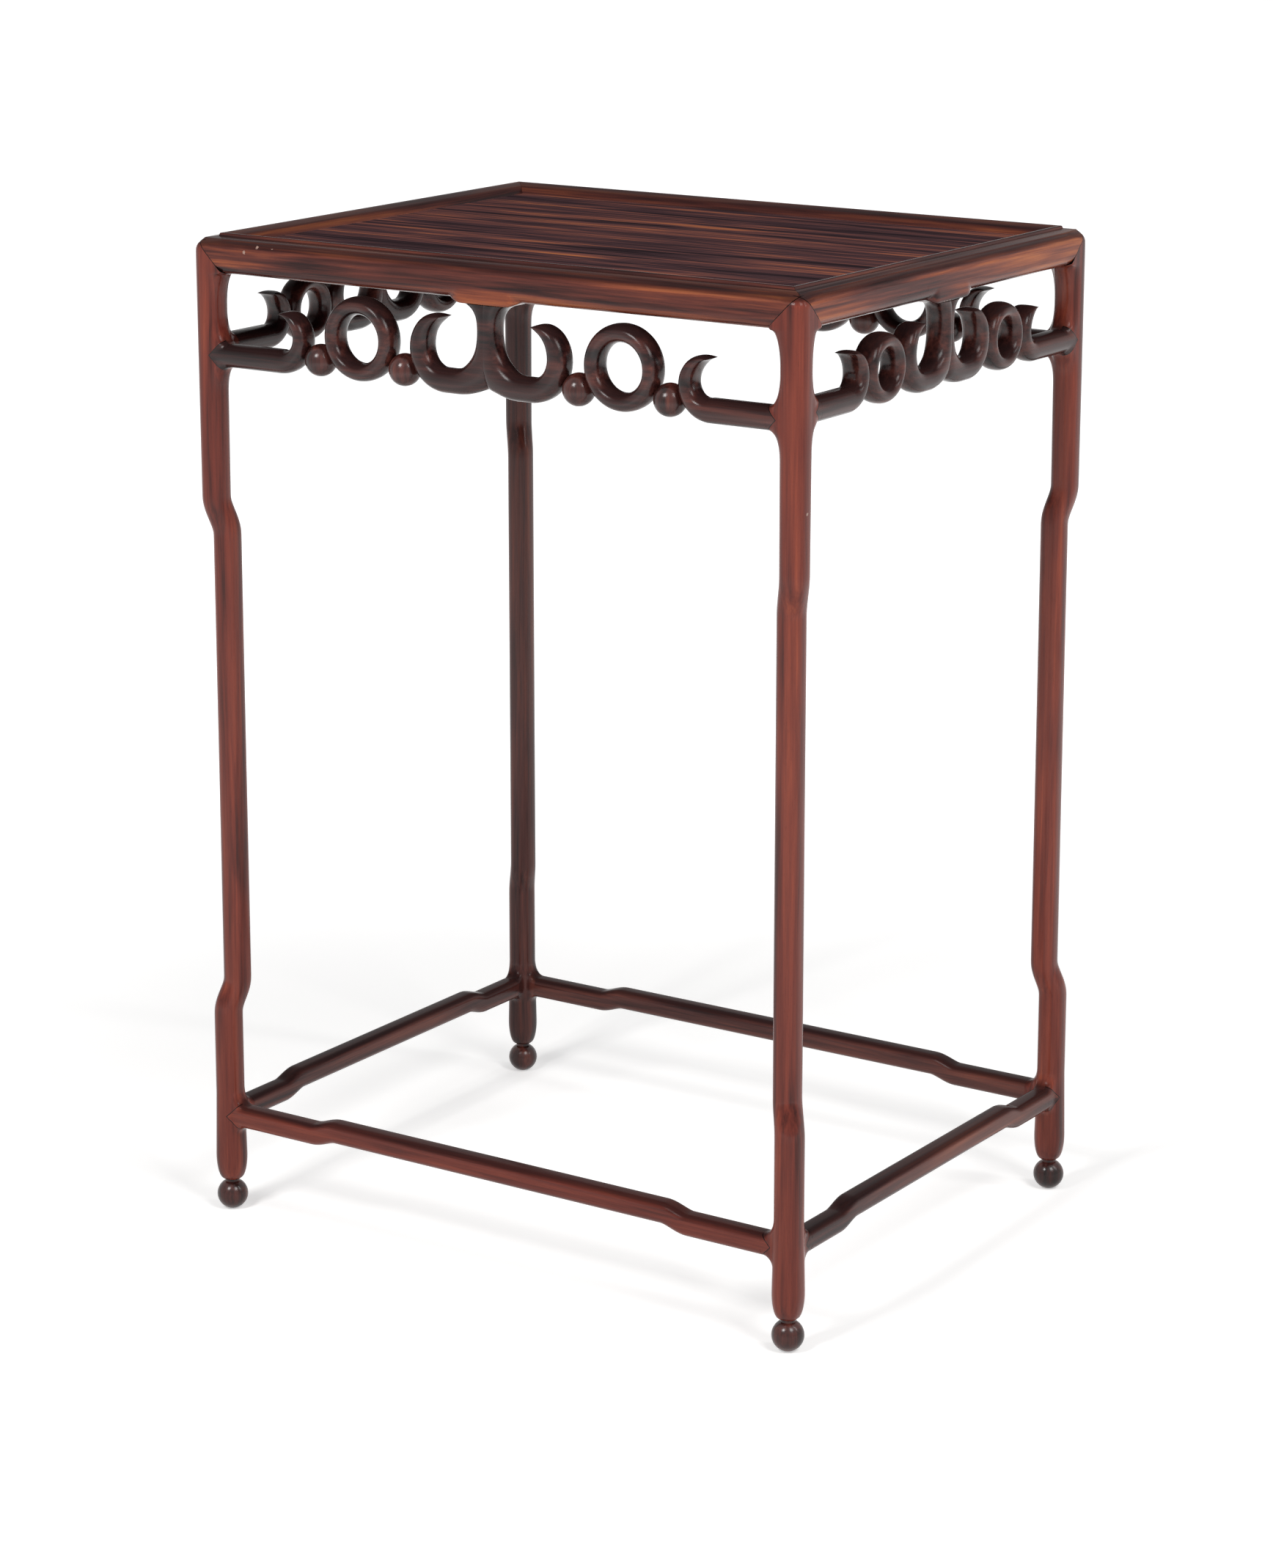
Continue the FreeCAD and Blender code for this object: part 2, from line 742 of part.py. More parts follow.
def bound_box(label, extents, low):
    block = doc.addObject("Part::Box", label)
    for side, text in zip(("Length", "Width", "Height"), extents):
        bind(block, side, text)
    for axis, text in zip("xyz", low):
        bind(block, "Placement.Base." + axis, text)
    return block


def batten(label, sign):
    """A dovetailed key under the panel, across its grain, tenoned into the long rails."""
    body = new_body(label)
    under = "Sizes.table_height - Sizes.tray_depth - Sizes.panel_thickness"
    centre = "%s * Sizes.batten_spacing / 2" % sign
    flare = " + Sizes.batten_dovetail / 2"
    neck, wide = " + Sizes.batten_neck / 2", " + Sizes.batten_width / 2"
    half = [
        (wide, under + " - Sizes.batten_depth"),
        (wide, under),
        (neck, under),
        (neck + flare, under + " + Sizes.batten_dovetail"),
    ]
    points = [(centre + place, level) for place, level in half]
    mirrored = [(centre + place.replace("+", "-"), level) for place, level in half[::-1]]
    length = "Sizes.leg_spacing_short + Sizes.leg_width_top - 2 * Sizes.rail_width"
    pad(body, bound_polygon(body, "XZ_Plane", points + mirrored), length + " + 2 * Sizes.batten_tenon")
    return body


def panel():
    inside = "(Sizes.%s + Sizes.leg_width_top) / 2 - Sizes.rail_width - Sizes.panel_gap"
    half_x, half_y = inside % "leg_spacing_long", inside % "leg_spacing_short"
    under = "Sizes.table_height - Sizes.tray_depth - Sizes.panel_thickness"
    board = bound_box(
        "panel_board",
        ("2 * (%s)" % half_x, "2 * (%s)" % half_y, "Sizes.panel_thickness"),
        ("-(%s)" % half_x, "-(%s)" % half_y, under),
    )
    reach = " + Sizes.panel_tongue - Sizes.panel_gap"
    tongue = bound_box(
        "panel_tongue",
        ("2 * (%s)" % (half_x + reach), "2 * (%s)" % (half_y + reach), "Sizes.panel_tongue_thickness"),
        (
            "-(%s)" % (half_x + reach),
            "-(%s)" % (half_y + reach),
            under + " + (Sizes.panel_thickness - Sizes.panel_tongue_thickness) / 2",
        ),
    )
    doc.recompute()
    return board.Shape.fuse(tongue.Shape)


def foot_blank():
    """A turned ball with its neck and spigot, slightly flat where it stands."""
    ball = doc.addObject("Part::Sphere", "foot_ball_blank")
    bind(ball, "Radius", "Sizes.foot_ball / 2")
    bind(ball, "Angle1", "-asin(1 - 2 * Sizes.foot_flat / Sizes.foot_ball)")
    bind(ball, "Placement.Base.z", "Sizes.foot_ball / 2 - Sizes.foot_flat")
    neck = doc.addObject("Part::Cylinder", "foot_neck_blank")
    bind(neck, "Radius", "Sizes.foot_neck / 2")
    bind(neck, "Height", "Sizes.leg_end - Sizes.foot_ball / 2")
    bind(neck, "Placement.Base.z", "Sizes.foot_ball / 2")
    spigot = doc.addObject("Part::Cylinder", "foot_spigot_blank")
    bind(spigot, "Radius", "Sizes.foot_spigot / 2")
    bind(spigot, "Height", "Sizes.foot_spigot_length")
    bind(spigot, "Placement.Base.z", "Sizes.leg_end")
    turned = doc.addObject("Part::MultiFuse", "foot_blank")
    turned.Shapes = [ball, neck, spigot]
    doc.recompute()
    return turned.Shape, spigot.Shape


# Corners

CORNERS = {
    "front_left": (False, False),
    "front_right": (True, False),
    "back_left": (False, True),
    "back_right": (True, True),
}
nodes = []

plan = frame_plan()
wedge = head_wedge()
wedges = {name: to_corner(wedge, *ways) for name, ways in CORNERS.items()}
rail_bodies = {
    "front": rail_blank("front_rail_blank", "YZ_Plane", "-1", "leg_spacing_short", "leg_spacing_long"),
    "back": rail_blank("back_rail_blank", "YZ_Plane", "1", "leg_spacing_short", "leg_spacing_long"),
    "left": rail_blank("left_rail_blank", "XZ_Plane", "-1", "leg_spacing_long", "leg_spacing_short"),
    "right": rail_blank("right_rail_blank", "XZ_Plane", "1", "leg_spacing_long", "leg_spacing_short"),
}
sectors = {
    "front": mitre_sector(True, -1),
    "back": mitre_sector(True, 1),
    "left": mitre_sector(False, -1),
    "right": mitre_sector(False, 1),
}
frame_sides = {
    name: body.Shape.common(sectors[name]).common(plan) for name, body in rail_bodies.items()
}
head_tenons = [head_tenon(EAST, NORTH), head_tenon(NORTH, EAST)]
bar_ear_x, head_x = apron_ears(EAST, NORTH, "long")
bar_ear_y, head_y = apron_ears(NORTH, EAST, "short")
leg_body = joined([
    leg_column(), stretcher_ear(EAST, NORTH), stretcher_ear(NORTH, EAST), bar_ear_x, bar_ear_y
])
# the leg's own faces run up past the rails' rounded undersides to the mitres on the face
neck = Part.Face(leg_section(RAIL_UNDER, 2 * HALF_LEG)).extrude(UP * OVER)
shoulders = joined([neck, head_x, head_y])
below = box((-OVER, -OVER, 0), (OVER, OVER, RAIL_UNDER))
low_head = box((-OVER, -OVER, RAIL_UNDER), (OVER, OVER, RAIL_UNDER + size("rail_under_round")))
rails_here = frame_sides["front"].fuse(frame_sides["left"])
rails_here.translate(V(HALF_LONG, HALF_SHORT, 0))
leg_head = joined([
    shoulders.common(below), shoulders.common(low_head).common(wedge), rails_here.common(wedge)
])
foot, spigot = foot_blank()
bar_ends = {}
for name, ways in CORNERS.items():
    tip = size("near_shoulder_tip") if name == "front_right" else size("shoulder_tip")
    joints = corner_joints(tip)
    for joint, (space, peg) in joints.items():
        end = leg_body.common(space).fuse(peg)
        bar_ends[name, joint] = to_corner(end, *ways)
    cutters = [shape for pair in joints.values() for shape in pair]
    leg = leg_body.cut(cutters + [spigot]).multiFuse([leg_head] + head_tenons).removeSplitter()
    nodes.append(feature("leg_" + name, to_corner(leg, *ways)))
    nodes.append(feature("ball_foot_" + name, to_corner(foot, *ways)))

# Stretchers

for name, role, spacing, crank_from, shift, ends in (
    ("front", "XZ_Plane", "leg_spacing_long", "long_crank_from_leg", NORTH * -HALF_SHORT, "x"),
    ("back", "XZ_Plane", "leg_spacing_long", "long_crank_from_leg", NORTH * HALF_SHORT, "x"),
    ("left", "YZ_Plane", "leg_spacing_short", "short_crank_from_leg", EAST * -HALF_LONG, "y"),
    ("right", "YZ_Plane", "leg_spacing_short", "short_crank_from_leg", EAST * HALF_LONG, "y"),
):
    bar = stretcher_blank(name + "_stretcher_blank", role, spacing, crank_from).Shape.copy()
    bar.translate(shift)
    tips = [bar_ends[corner, "stretcher_" + ends] for corner in CORNERS if name in corner]
    nodes.append(feature(name + "_stretcher", joined([bar] + tips)))

# Aprons

long_ring = ring_blank("long_ring_blank", "Sizes.long_ring_radius", "Sizes.long_ring_hole").Shape
short_ring = ring_blank("short_ring_blank", "Sizes.short_ring_radius", "Sizes.short_ring_hole").Shape
ball_object = doc.addObject("Part::Sphere", "ball_blank")
bind(ball_object, "Radius", "Sizes.ball_diameter / 2")
doc.recompute()
ball_blank = ball_object.Shape.copy()
# its seam turned to the front, clear of the dowel holes
ball_blank.rotate(ORIGIN, UP, math.degrees(math.pi / 2))

post_dowels = {}
for name, kind, centre, along, out, end_names in (
    ("front", "long", NORTH * -HALF_SHORT, EAST, NORTH * -1, {-1: "left", 1: "right"}),
    ("back", "long", NORTH * HALF_SHORT, EAST, NORTH, {-1: "left", 1: "right"}),
    ("left", "short", EAST * -HALF_LONG, NORTH, EAST * -1, {-1: "front", 1: "back"}),
    ("right", "short", EAST * HALF_LONG, NORTH, EAST, {-1: "front", 1: "back"}),
):
    offset, ball_radius = size(kind + "_double_offset"), size("ball_diameter") / 2
    # each rim's level and radius, from the middle of the apron outward
    chain = [
        (TOP - size("%s_%s_drop" % (kind, link)), size("%s_%s_radius" % (kind, link)))
        for link in ("double", "ring", "hook")
    ]
    if kind == "long":
        beads = (TOP - size("ball_drop"), ball_radius)
        chain = [chain[0], beads, chain[1], beads, chain[2]]
    places = [offset]
    for (level, radius), (next_level, next_radius) in zip(chain, chain[1:]):
        places.append(neighbour(places[-1], level, radius, next_level, next_radius))
    half_span = HALF_LONG if kind == "long" else HALF_SHORT
    middle = double_hook(centre, along, out, kind)
    seat = centre + UP * SEAT
    pegs = [dowel(seat - UP * size("dowel_length"), size("dowel_length"), seat)]
    post_dowels[name] = pegs[0]
    pieces = []
    for sign, end_name in end_names.items():
        away = along * -sign
        hubs = [
            centre + along * (sign * place) + UP * level for place, (level, _) in zip(places, chain)
        ]
        side_pegs = [
            dowel(here, radius, there) for here, there, (_, radius) in zip(hubs, hubs[1:], chain)
        ]
        corner = [key for key in CORNERS if name in key and end_name in key][0]
        tip = bar_ends[corner, "apron_x" if kind == "long" else "apron_y"]
        hook = end_hook(hubs[-1], away, out, kind, half_span - APRON_SHOULDER)
        pieces.append(("hook_" + end_name, joined([hook, tip])))
        ring_source = long_ring if kind == "long" else short_ring
        ring = stand_up(ring_source, hubs[2 if kind == "long" else 1], out)
        if kind == "long":
            for stage, hub in (("inner", hubs[1]), ("outer", hubs[3])):
                ball = ball_blank.copy()
                ball.translate(hub)
                ball = ball.cut([ring, middle, hook])
                pieces.append(("ball_%s_%s" % (end_name, stage), ball))
        else:
            ring = ring.cut([middle, hook])
        pieces.append(("ring_" + end_name, ring))
        pegs += side_pegs
    pieces.append(("double_hook", middle))
    for part, shape in pieces:
        nodes.append(feature("%s_apron_%s" % (name, part), shape.cut(pegs)))
    nodes.append(feature(name + "_apron_dowels", Part.makeCompound(pegs)))

# Tray frame, panel and battens

battens = [batten("panel_batten_left", "-1"), batten("panel_batten_right", "1")]
nodes += battens
nodes.append(feature("top_panel", panel().cut([body.Shape for body in battens])))
tongues = {name: to_corner(rail_tenon(), *ways) for name, ways in CORNERS.items()}
leg_tenons = [to_corner(peg, *ways) for peg in head_tenons for ways in CORNERS.values()]
for name, out, along, centre in (
    ("front", NORTH * -1, EAST, NORTH * -HALF_SHORT),
    ("back", NORTH, EAST, NORTH * HALF_SHORT),
    ("left", EAST * -1, NORTH, EAST * -HALF_LONG),
    ("right", EAST, NORTH, EAST * HALF_LONG),
):
    rail = frame_sides[name].fuse(stub(out, along, centre))
    cutters = list(wedges.values()) + leg_tenons + [post_dowels[name]]
    if name in ("front", "back"):
        own = [tongue for corner, tongue in tongues.items() if name in corner]
        rail = rail.multiFuse(own)
        cutters += [body.Shape for body in battens]
    else:
        cutters += list(tongues.values())
    nodes.append(feature(name + "_rail", rail.cut(cutters).removeSplitter()))

# Checks, and only then the files

doc.recompute()
faulty = [item.Label for item in doc.Objects if {"Invalid", "Error"} & set(item.State)]
faulty += [node.Label for node in nodes if node.Shape.isNull() or not node.Shape.isValid()]
if faulty:
    raise ValueError("unsound: " + ", ".join(faulty))
for node in nodes:
    node.Shape.exportStep("parts/%s.step" % node.Label)
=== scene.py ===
import math
import random

import bmesh
import bpy
from mathutils import Matrix, Vector


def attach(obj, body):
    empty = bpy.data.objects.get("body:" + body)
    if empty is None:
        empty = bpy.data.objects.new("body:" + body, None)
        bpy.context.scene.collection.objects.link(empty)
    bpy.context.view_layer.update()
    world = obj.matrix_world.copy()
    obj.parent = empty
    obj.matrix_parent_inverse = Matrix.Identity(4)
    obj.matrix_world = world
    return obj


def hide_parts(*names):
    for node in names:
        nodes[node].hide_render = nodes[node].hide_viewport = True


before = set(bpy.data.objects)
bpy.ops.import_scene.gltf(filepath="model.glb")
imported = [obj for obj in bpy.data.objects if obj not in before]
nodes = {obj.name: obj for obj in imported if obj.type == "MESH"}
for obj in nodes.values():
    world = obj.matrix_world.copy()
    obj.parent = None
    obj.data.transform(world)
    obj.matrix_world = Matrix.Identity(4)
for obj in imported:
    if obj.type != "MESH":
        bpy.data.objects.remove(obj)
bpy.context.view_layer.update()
rng = random.Random(8)

# The table's own sizes, in millimetres. A corner frame has its origin on a leg's axis at the
# floor, with u along X and v along Y, both pointing inward under the top.

EAST, NORTH, UP = Vector((1, 0, 0)), Vector((0, 1, 0)), Vector((0, 0, 1))
HALF_LONG, HALF_SHORT = 266.5, 205.2
TOP, PANEL_TOP, RAIL_UNDER, SEAT = 800.0, 791.7, 770.0, 766.5

# how many steps draw a leg's cranks and flares, its rounded end, a stretcher's cranks and half a
# stub, how many go between two rows of a horn or a post, and how many round a stick's corner
LEG_STEPS, END_STEPS, CRANK_STEPS, STUB_STEPS = 14, 10, 16, 14
HORN_STEPS, POST_STEPS, CORNER_STEPS = 4, 3, 6

# thickness is in millimetres, and a rounding is a share of a stick's half thickness
HALF_LEG, LEG_ROUND = 11.0, 0.8
# how wide the leg is above its high crank, between its cranks, below its low crank and at its
# foot, how far its middle stands in, and where its cranks are
WAIST, MIDDLE, SHIN, FOOT, CRANK_IN = 21.0, 20.6, 21.4, 23.6, 5.6
HIGH_CRANK, HIGH_CRANK_LENGTH = 577.0, 31.0
LOW_CRANK, LOW_CRANK_LENGTH = 182.0, 29.0
# the level where the foot is widest, the leg's rounded end, and the ball under it with its neck
FOOT_WIDEST, LEG_END, LEG_END_WIDTH = 46.0, 25.2, 13.0
FOOT_BALL_RADIUS, FOOT_BALL_CENTRE = 12.5, 12.2
FOOT_NECK_RADIUS, FOOT_NECK_INSIDE = 5.75, 1.0

STRETCHER_CENTRE, STRETCHER_HALF, STRETCHER_ROUND = 81.5, 8.75, 0.63
# how far a stretcher's middle is cranked up, and over what length
STRETCHER_RISE, STRETCHER_CRANK = 5.5, 24.0

APRON_HALF_DEPTH, LINK_ROUND, RING_ROUND = 10.25, 0.86, 0.92
# how far the leg's ears reach out, and what is sawn off them after carving
SHOULDER, SAWN_OFF = 19.5, 3.0
# how tall the ears' hollow flares are, and the share of that under a bar
STRETCHER_FLARE, APRON_FLARE, HEAD_FLARE, UNDER_FLARE = 14.0, 24.0, 27.0, 0.8
# how wide the leg is where each flare has run out, a hair less than the leg itself
STRETCHER_FACE, BAR_FACE, HEAD_FACE = SHIN / 2 - 0.05, HALF_LEG - 0.2, HALF_LEG - 0.1
# how far the leg and its ears run up inside the rails, and how long their share of a rail is
LEG_INSIDE, HEAD_INSIDE, CORNER_RUN = 16.0, 14.0, 45.0
# the stub over a double hook: half its flat seat, the sweep beside it, how far that sweep rises
# and draws back, its rounding, and how far it runs up inside the rail and along it
SEAT_HALF, STUB_SWEEP, STUB_RISE, STUB_SET_BACK, STUB_ROUND = 20.8, 15.0, 6.0, 7.0, 0.14
STUB_INSIDE, STUB_BESIDE = 10.0, 5.0
# carving: the smallest form it keeps, and how many times it is rubbed smooth
LEG_CARVING, STUB_CARVING = (1.0, 9), (0.8, 5)
# the small balls of an apron, and how deep each of its rims bites into the next
BALL_RADIUS, BALL_LEVEL, RIM_BITE = 12.6, 710.0, 0.4

# how far a pointed shoulder reaches towards the leg's axis, and how deep it is let in
SHOULDER_TIP, NEAR_SHOULDER_TIP, LAP_DEPTH = 4.0, 11.0, 3.0

# how far one surface stands proud of another, how open the old joints are, how wide the dark line
# along them is, and the turn from which an edge is left crisp
PROUD, JOINT_GAP, JOINT_LINE, CRISP = 0.06, 0.2, 0.42, math.radians(40)

# Each kind of side: half its span, where its stretcher cranks, and its apron's bar, double
# hook, ring and end hook, as levels and radii
LONG = {
    "half": HALF_LONG, "crank": 99.0, "bar": 18.5, "double": (39.3, 728.5, 32.2, 19.0),
    "ring": (730.0, 32.6, 18.6), "hook": (723.0, 26.5),
}
SHORT = {
    "half": HALF_SHORT, "crank": 76.0, "bar": 19.0, "double": (34.0, 730.5, 29.5, 18.0),
    "ring": (727.5, 26.5, 13.5), "hook": (725.5, 24.5),
}

# A horn from its tip to its root: degrees above level, then shares of the outer radius, of
# the root's thickness and of the apron's depth. The crescents at the middle are fuller.
END_HORN = [
    (86.0, 0.785, 0.04, 0.84),
    (75.0, 0.865, 0.23, 0.88),
    (62.0, 0.935, 0.42, 0.93),
    (45.0, 0.98, 0.57, 0.97),
    (22.0, 1.0, 0.67, 1.0),
    (-8.0, 1.0, 0.75, 1.0),
    (-35.0, 1.0, 0.83, 1.0),
    (-63.0, 1.0, 0.93, 1.0),
    (-90.0, 1.0, 1.0, 1.0),
]
DOUBLE_HORN = [
    (84.0, 0.80, 0.04, 0.84),
    (75.0, 0.87, 0.30, 0.88),
    (62.0, 0.94, 0.53, 0.93),
    (45.0, 0.985, 0.72, 0.97),
    (22.0, 1.0, 0.87, 1.0),
    (-8.0, 1.0, 0.95, 1.0),
    (-35.0, 1.0, 0.97, 1.0),
    (-63.0, 1.0, 0.98, 1.0),
    (-90.0, 1.0, 1.0, 1.0),
]
# The rest of a double hook, from the root of its horn to its seat: places of the hidden edge
# and of the open edge, each as a share of the way to the hub and of the height to the seat
POST = [
    (0.789, 0.0, 0.84, 0.27),
    (0.62, 0.002, 0.70, 0.279),
    (0.425, 0.017, 0.573, 0.307),
    (0.204, 0.055, 0.453, 0.365),
    (0.0, 0.11, 0.351, 0.439),
    (-0.12, 0.27, 0.28, 0.524),
    (-0.153, 0.47, 0.234, 0.639),
    (-0.153, 0.67, 0.224, 0.753),
    (-0.153, 0.83, 0.252, 0.853),
    (-0.153, 0.92, 0.328, 0.926),
    (-0.153, 0.97, 0.422, 0.97),
    (-0.153, 1.0, 0.529, 1.0),
]

# A rail's section: inward from its outer face, height, how far each corner is rounded and in how
# many steps
RAIL_WIDTH = 28.5
RAIL_SECTION = [
    (0.0, RAIL_UNDER, 9.0, 10),
    (0.0, 790.2, 2.2, 3),
    (1.5, 794.4, 1.9, 3),
    (5.0, 796.0, 0.2, 3),
    (5.2, 796.6, 0.25, 3),
    (15.5, 797.7, 0.4, 3),
    (16.1, TOP, 0.8, 3),
    (18.5, TOP, 0.9, 3),
    (24.5, TOP - 2.6, 1.2, 3),
    (RAIL_WIDTH, PANEL_TOP, 0.4, 3),
    (RAIL_WIDTH, RAIL_UNDER, 0.6, 3),
]
# the corner's rounding in plan, the level from which it also rounds over on top, how many cuts
# go round it and how far each is tilted
PLAN_CORNER, DOME_LEVEL, CORNER_CUTS, CORNER_TILTS = 9.0, 786.5, 9, (0.0, 0.45, 0.9)

# small pale chips and nicks in the old wax, and a sliver of filler: their places and sizes, and
# how uneven their outlines are
RAGGED = 2.4
CHIPS = [
    ((-212.8, -215.5, 794.3), 1.6),
    ((-224.8, -216.2, 789.0), 1.2),
    ((-198.0, -215.5, 794.1), 1.0),
    ((-273.9, -216.2, 779.4), 1.3),
    ((277.5, -206.0, 638.5), 1.2),
    ((277.8, -13.0, 767.2), 0.9),
    ((277.8, -9.0, 767.0), 1.1),
    ((277.8, -5.0, 767.1), 1.0),
    ((277.8, -1.0, 766.9), 0.8),
]

CORNERS = {
    "front_left": (1, 1),
    "front_right": (-1, 1),
    "back_left": (1, -1),
    "back_right": (-1, -1),
}
# each side: its kind and its neighbours' kind, its direction, its outward direction and the
# names of its two ends
SIDES = {
    "front": (LONG, SHORT, EAST, -NORTH, ("left", "right")),
    "back": (LONG, SHORT, EAST, NORTH, ("left", "right")),
    "left": (SHORT, LONG, NORTH, -EAST, ("front", "back")),
    "right": (SHORT, LONG, NORTH, EAST, ("front", "back")),
}


# Materials

# the patterns in a board, as millimetres along the grain and across it, then how much detail,
# roughness and bend each one has
GRAIN = {
    "broad": (230, 14, 3.0, 0.55, 0.6),
    "stripe": (120, 3.4, 3.0, 0.55, 0.3),
    "fine": (24, 0.8, 2.0, 0.5, 0.0),
    "pores": (6, 0.3, 2.0, 0.5, 0.0),
}
# how much the first three show in the stripes, and where the four tones lie along them
SHARES = {"broad": 0.56, "stripe": 0.36, "fine": 0.08}
TONE_OFFSETS = (-0.11, -0.01, 0.08, 0.18)
# the colours of the pores, of the painted shade on what faces up, of pale chips and of open joints
PORE, PAINTED_TOP_SHADE, CHIPPED, OPEN_JOINT = "1d1110", "271a1a", "a08478", "0d0706"
PAPER = "ebeae8"


def srgb(code):
    """A colour written as a six-digit code, as the render wants it."""
    parts = [int(code[start:start + 2], 16) / 255 for start in (0, 2, 4)]
    return tuple(c / 12.92 if c <= 0.04045 else ((c + 0.055) / 1.055) ** 2.4 for c in parts) + (1.0,)


def add(tree, kind, inputs, **settings):
    """Adds a node with its settings. Each input is a value, or an output socket that feeds it.

    A Mix node's colours are its inputs 6 and 7 and its output 2.
    """
    made = tree.nodes.new("ShaderNode" + kind)
    for key, value in settings.items():
        setattr(made, key, value)
    for key, value in inputs.items():
        if isinstance(value, bpy.types.NodeSocket):
            tree.links.new(value, made.inputs[key])
        else:
            made.inputs[key].default_value = value
    return made


def bar_levels(kind):
    """The underside and top of an apron's bar, which is its end hook's root."""
    level, radius = kind["hook"]
    return level - radius, level - radius + kind["bar"]


def striped(tree, grain, tones, contrast):
    """The colours of a board's stripes, from the darkest to the palest."""
    blend = 0.0
    for pattern, share in SHARES.items():
        blend = add(
            tree, "Math", {0: grain[pattern], 1: share, 2: blend}, operation="MULTIPLY_ADD"
        ).outputs[0]
    stripes = add(tree, "ValToRGB", {"Fac": blend})
    band = stripes.color_ramp
    for _ in tones[2:]:
        band.elements.new(0.5)
    for element, offset, tone in zip(band.elements, TONE_OFFSETS, tones):
        element.position = 0.5 + offset / contrast
        element.color = srgb(tone)
    return stripes.outputs["Color"]


def chips(tree, spot):
    """Where the wax has its pale chips, of uneven outline."""
    ragged = add(tree, "TexNoise", {"Vector": spot, "Scale": 1.0, "Detail": 2.0, "Roughness": 0.55})
    made = 0.0
    for centre, size in CHIPS:
        apart = add(tree, "VectorMath", {0: spot, 1: centre}, operation="DISTANCE").outputs["Value"]
        edge = add(
            tree, "Math", {0: ragged.outputs["Fac"], 1: RAGGED, 2: apart}, operation="MULTIPLY_ADD"
        ).outputs[0]
        chip = add(tree, "Math", {0: edge, 1: size + RAGGED / 2}, operation="LESS_THAN").outputs[0]
        made = add(tree, "Math", {0: made, 1: chip}, operation="MAXIMUM").outputs[0]
    return made


def joint_lines(tree, spot):
    """Dark lines along the bars' pointed shoulders and the mitres on the face, from the sizes above."""
    x, y, z = add(tree, "SeparateXYZ", {"Vector": spot}).outputs
    inward = []
    for along, half in ((x, HALF_LONG), (y, HALF_SHORT)):
        aside = add(tree, "Math", {0: along}, operation="ABSOLUTE").outputs[0]
        inward.append(add(tree, "Math", {0: half, 1: aside}, operation="SUBTRACT").outputs[0])
    u, v = inward
    at_right = add(tree, "Math", {0: x, 1: 0.0}, operation="GREATER_THAN").outputs[0]
    in_front = add(tree, "Math", {0: y, 1: 0.0}, operation="LESS_THAN").outputs[0]
    near = add(tree, "Math", {0: at_right, 1: in_front}, operation="MULTIPLY").outputs[0]
    tip = add(
        tree, "Math", {0: near, 1: NEAR_SHOULDER_TIP - SHOULDER_TIP, 2: SHOULDER_TIP},
        operation="MULTIPLY_ADD",
    ).outputs[0]
    above = add(tree, "Math", {0: z, 1: RAIL_UNDER}, operation="GREATER_THAN").outputs[0]
    made = 0.0
    for across, beside, kind in ((u, v, LONG), (v, u, SHORT)):
        ahead = add(tree, "Math", {0: across, 1: tip}, operation="SUBTRACT").outputs[0]
        outer = add(tree, "Math", {0: beside, 1: -LAP_DEPTH}, operation="LESS_THAN").outputs[0]
        on_ear = add(tree, "Math", {0: across, 1: SHOULDER}, operation="LESS_THAN").outputs[0]
        shown = add(tree, "Math", {0: outer, 1: on_ear}, operation="MULTIPLY").outputs[0]
        for level in (STRETCHER_CENTRE, sum(bar_levels(kind)) / 2):
            rise = add(tree, "Math", {0: z, 1: level}, operation="SUBTRACT").outputs[0]
            rise = add(tree, "Math", {0: rise}, operation="ABSOLUTE").outputs[0]
            slant = add(tree, "Math", {0: rise, 1: ahead, 2: JOINT_LINE}, operation="COMPARE").outputs[0]
            slant = add(tree, "Math", {0: slant, 1: shown}, operation="MULTIPLY").outputs[0]
            made = add(tree, "Math", {0: made, 1: slant}, operation="MAXIMUM").outputs[0]
        climb = add(tree, "Math", {0: z, 1: across}, operation="ADD").outputs[0]
        mitre = add(
            tree, "Math", {0: climb, 1: RAIL_UNDER + SHOULDER, 2: JOINT_LINE}, operation="COMPARE"
        ).outputs[0]
        head = add(tree, "Math", {0: beside, 1: 0.0}, operation="LESS_THAN").outputs[0]
        head = add(tree, "Math", {0: above, 1: head}, operation="MULTIPLY").outputs[0]
        mitre = add(tree, "Math", {0: mitre, 1: head}, operation="MULTIPLY").outputs[0]
        made = add(tree, "Math", {0: made, 1: mitre}, operation="MAXIMUM").outputs[0]
    return made


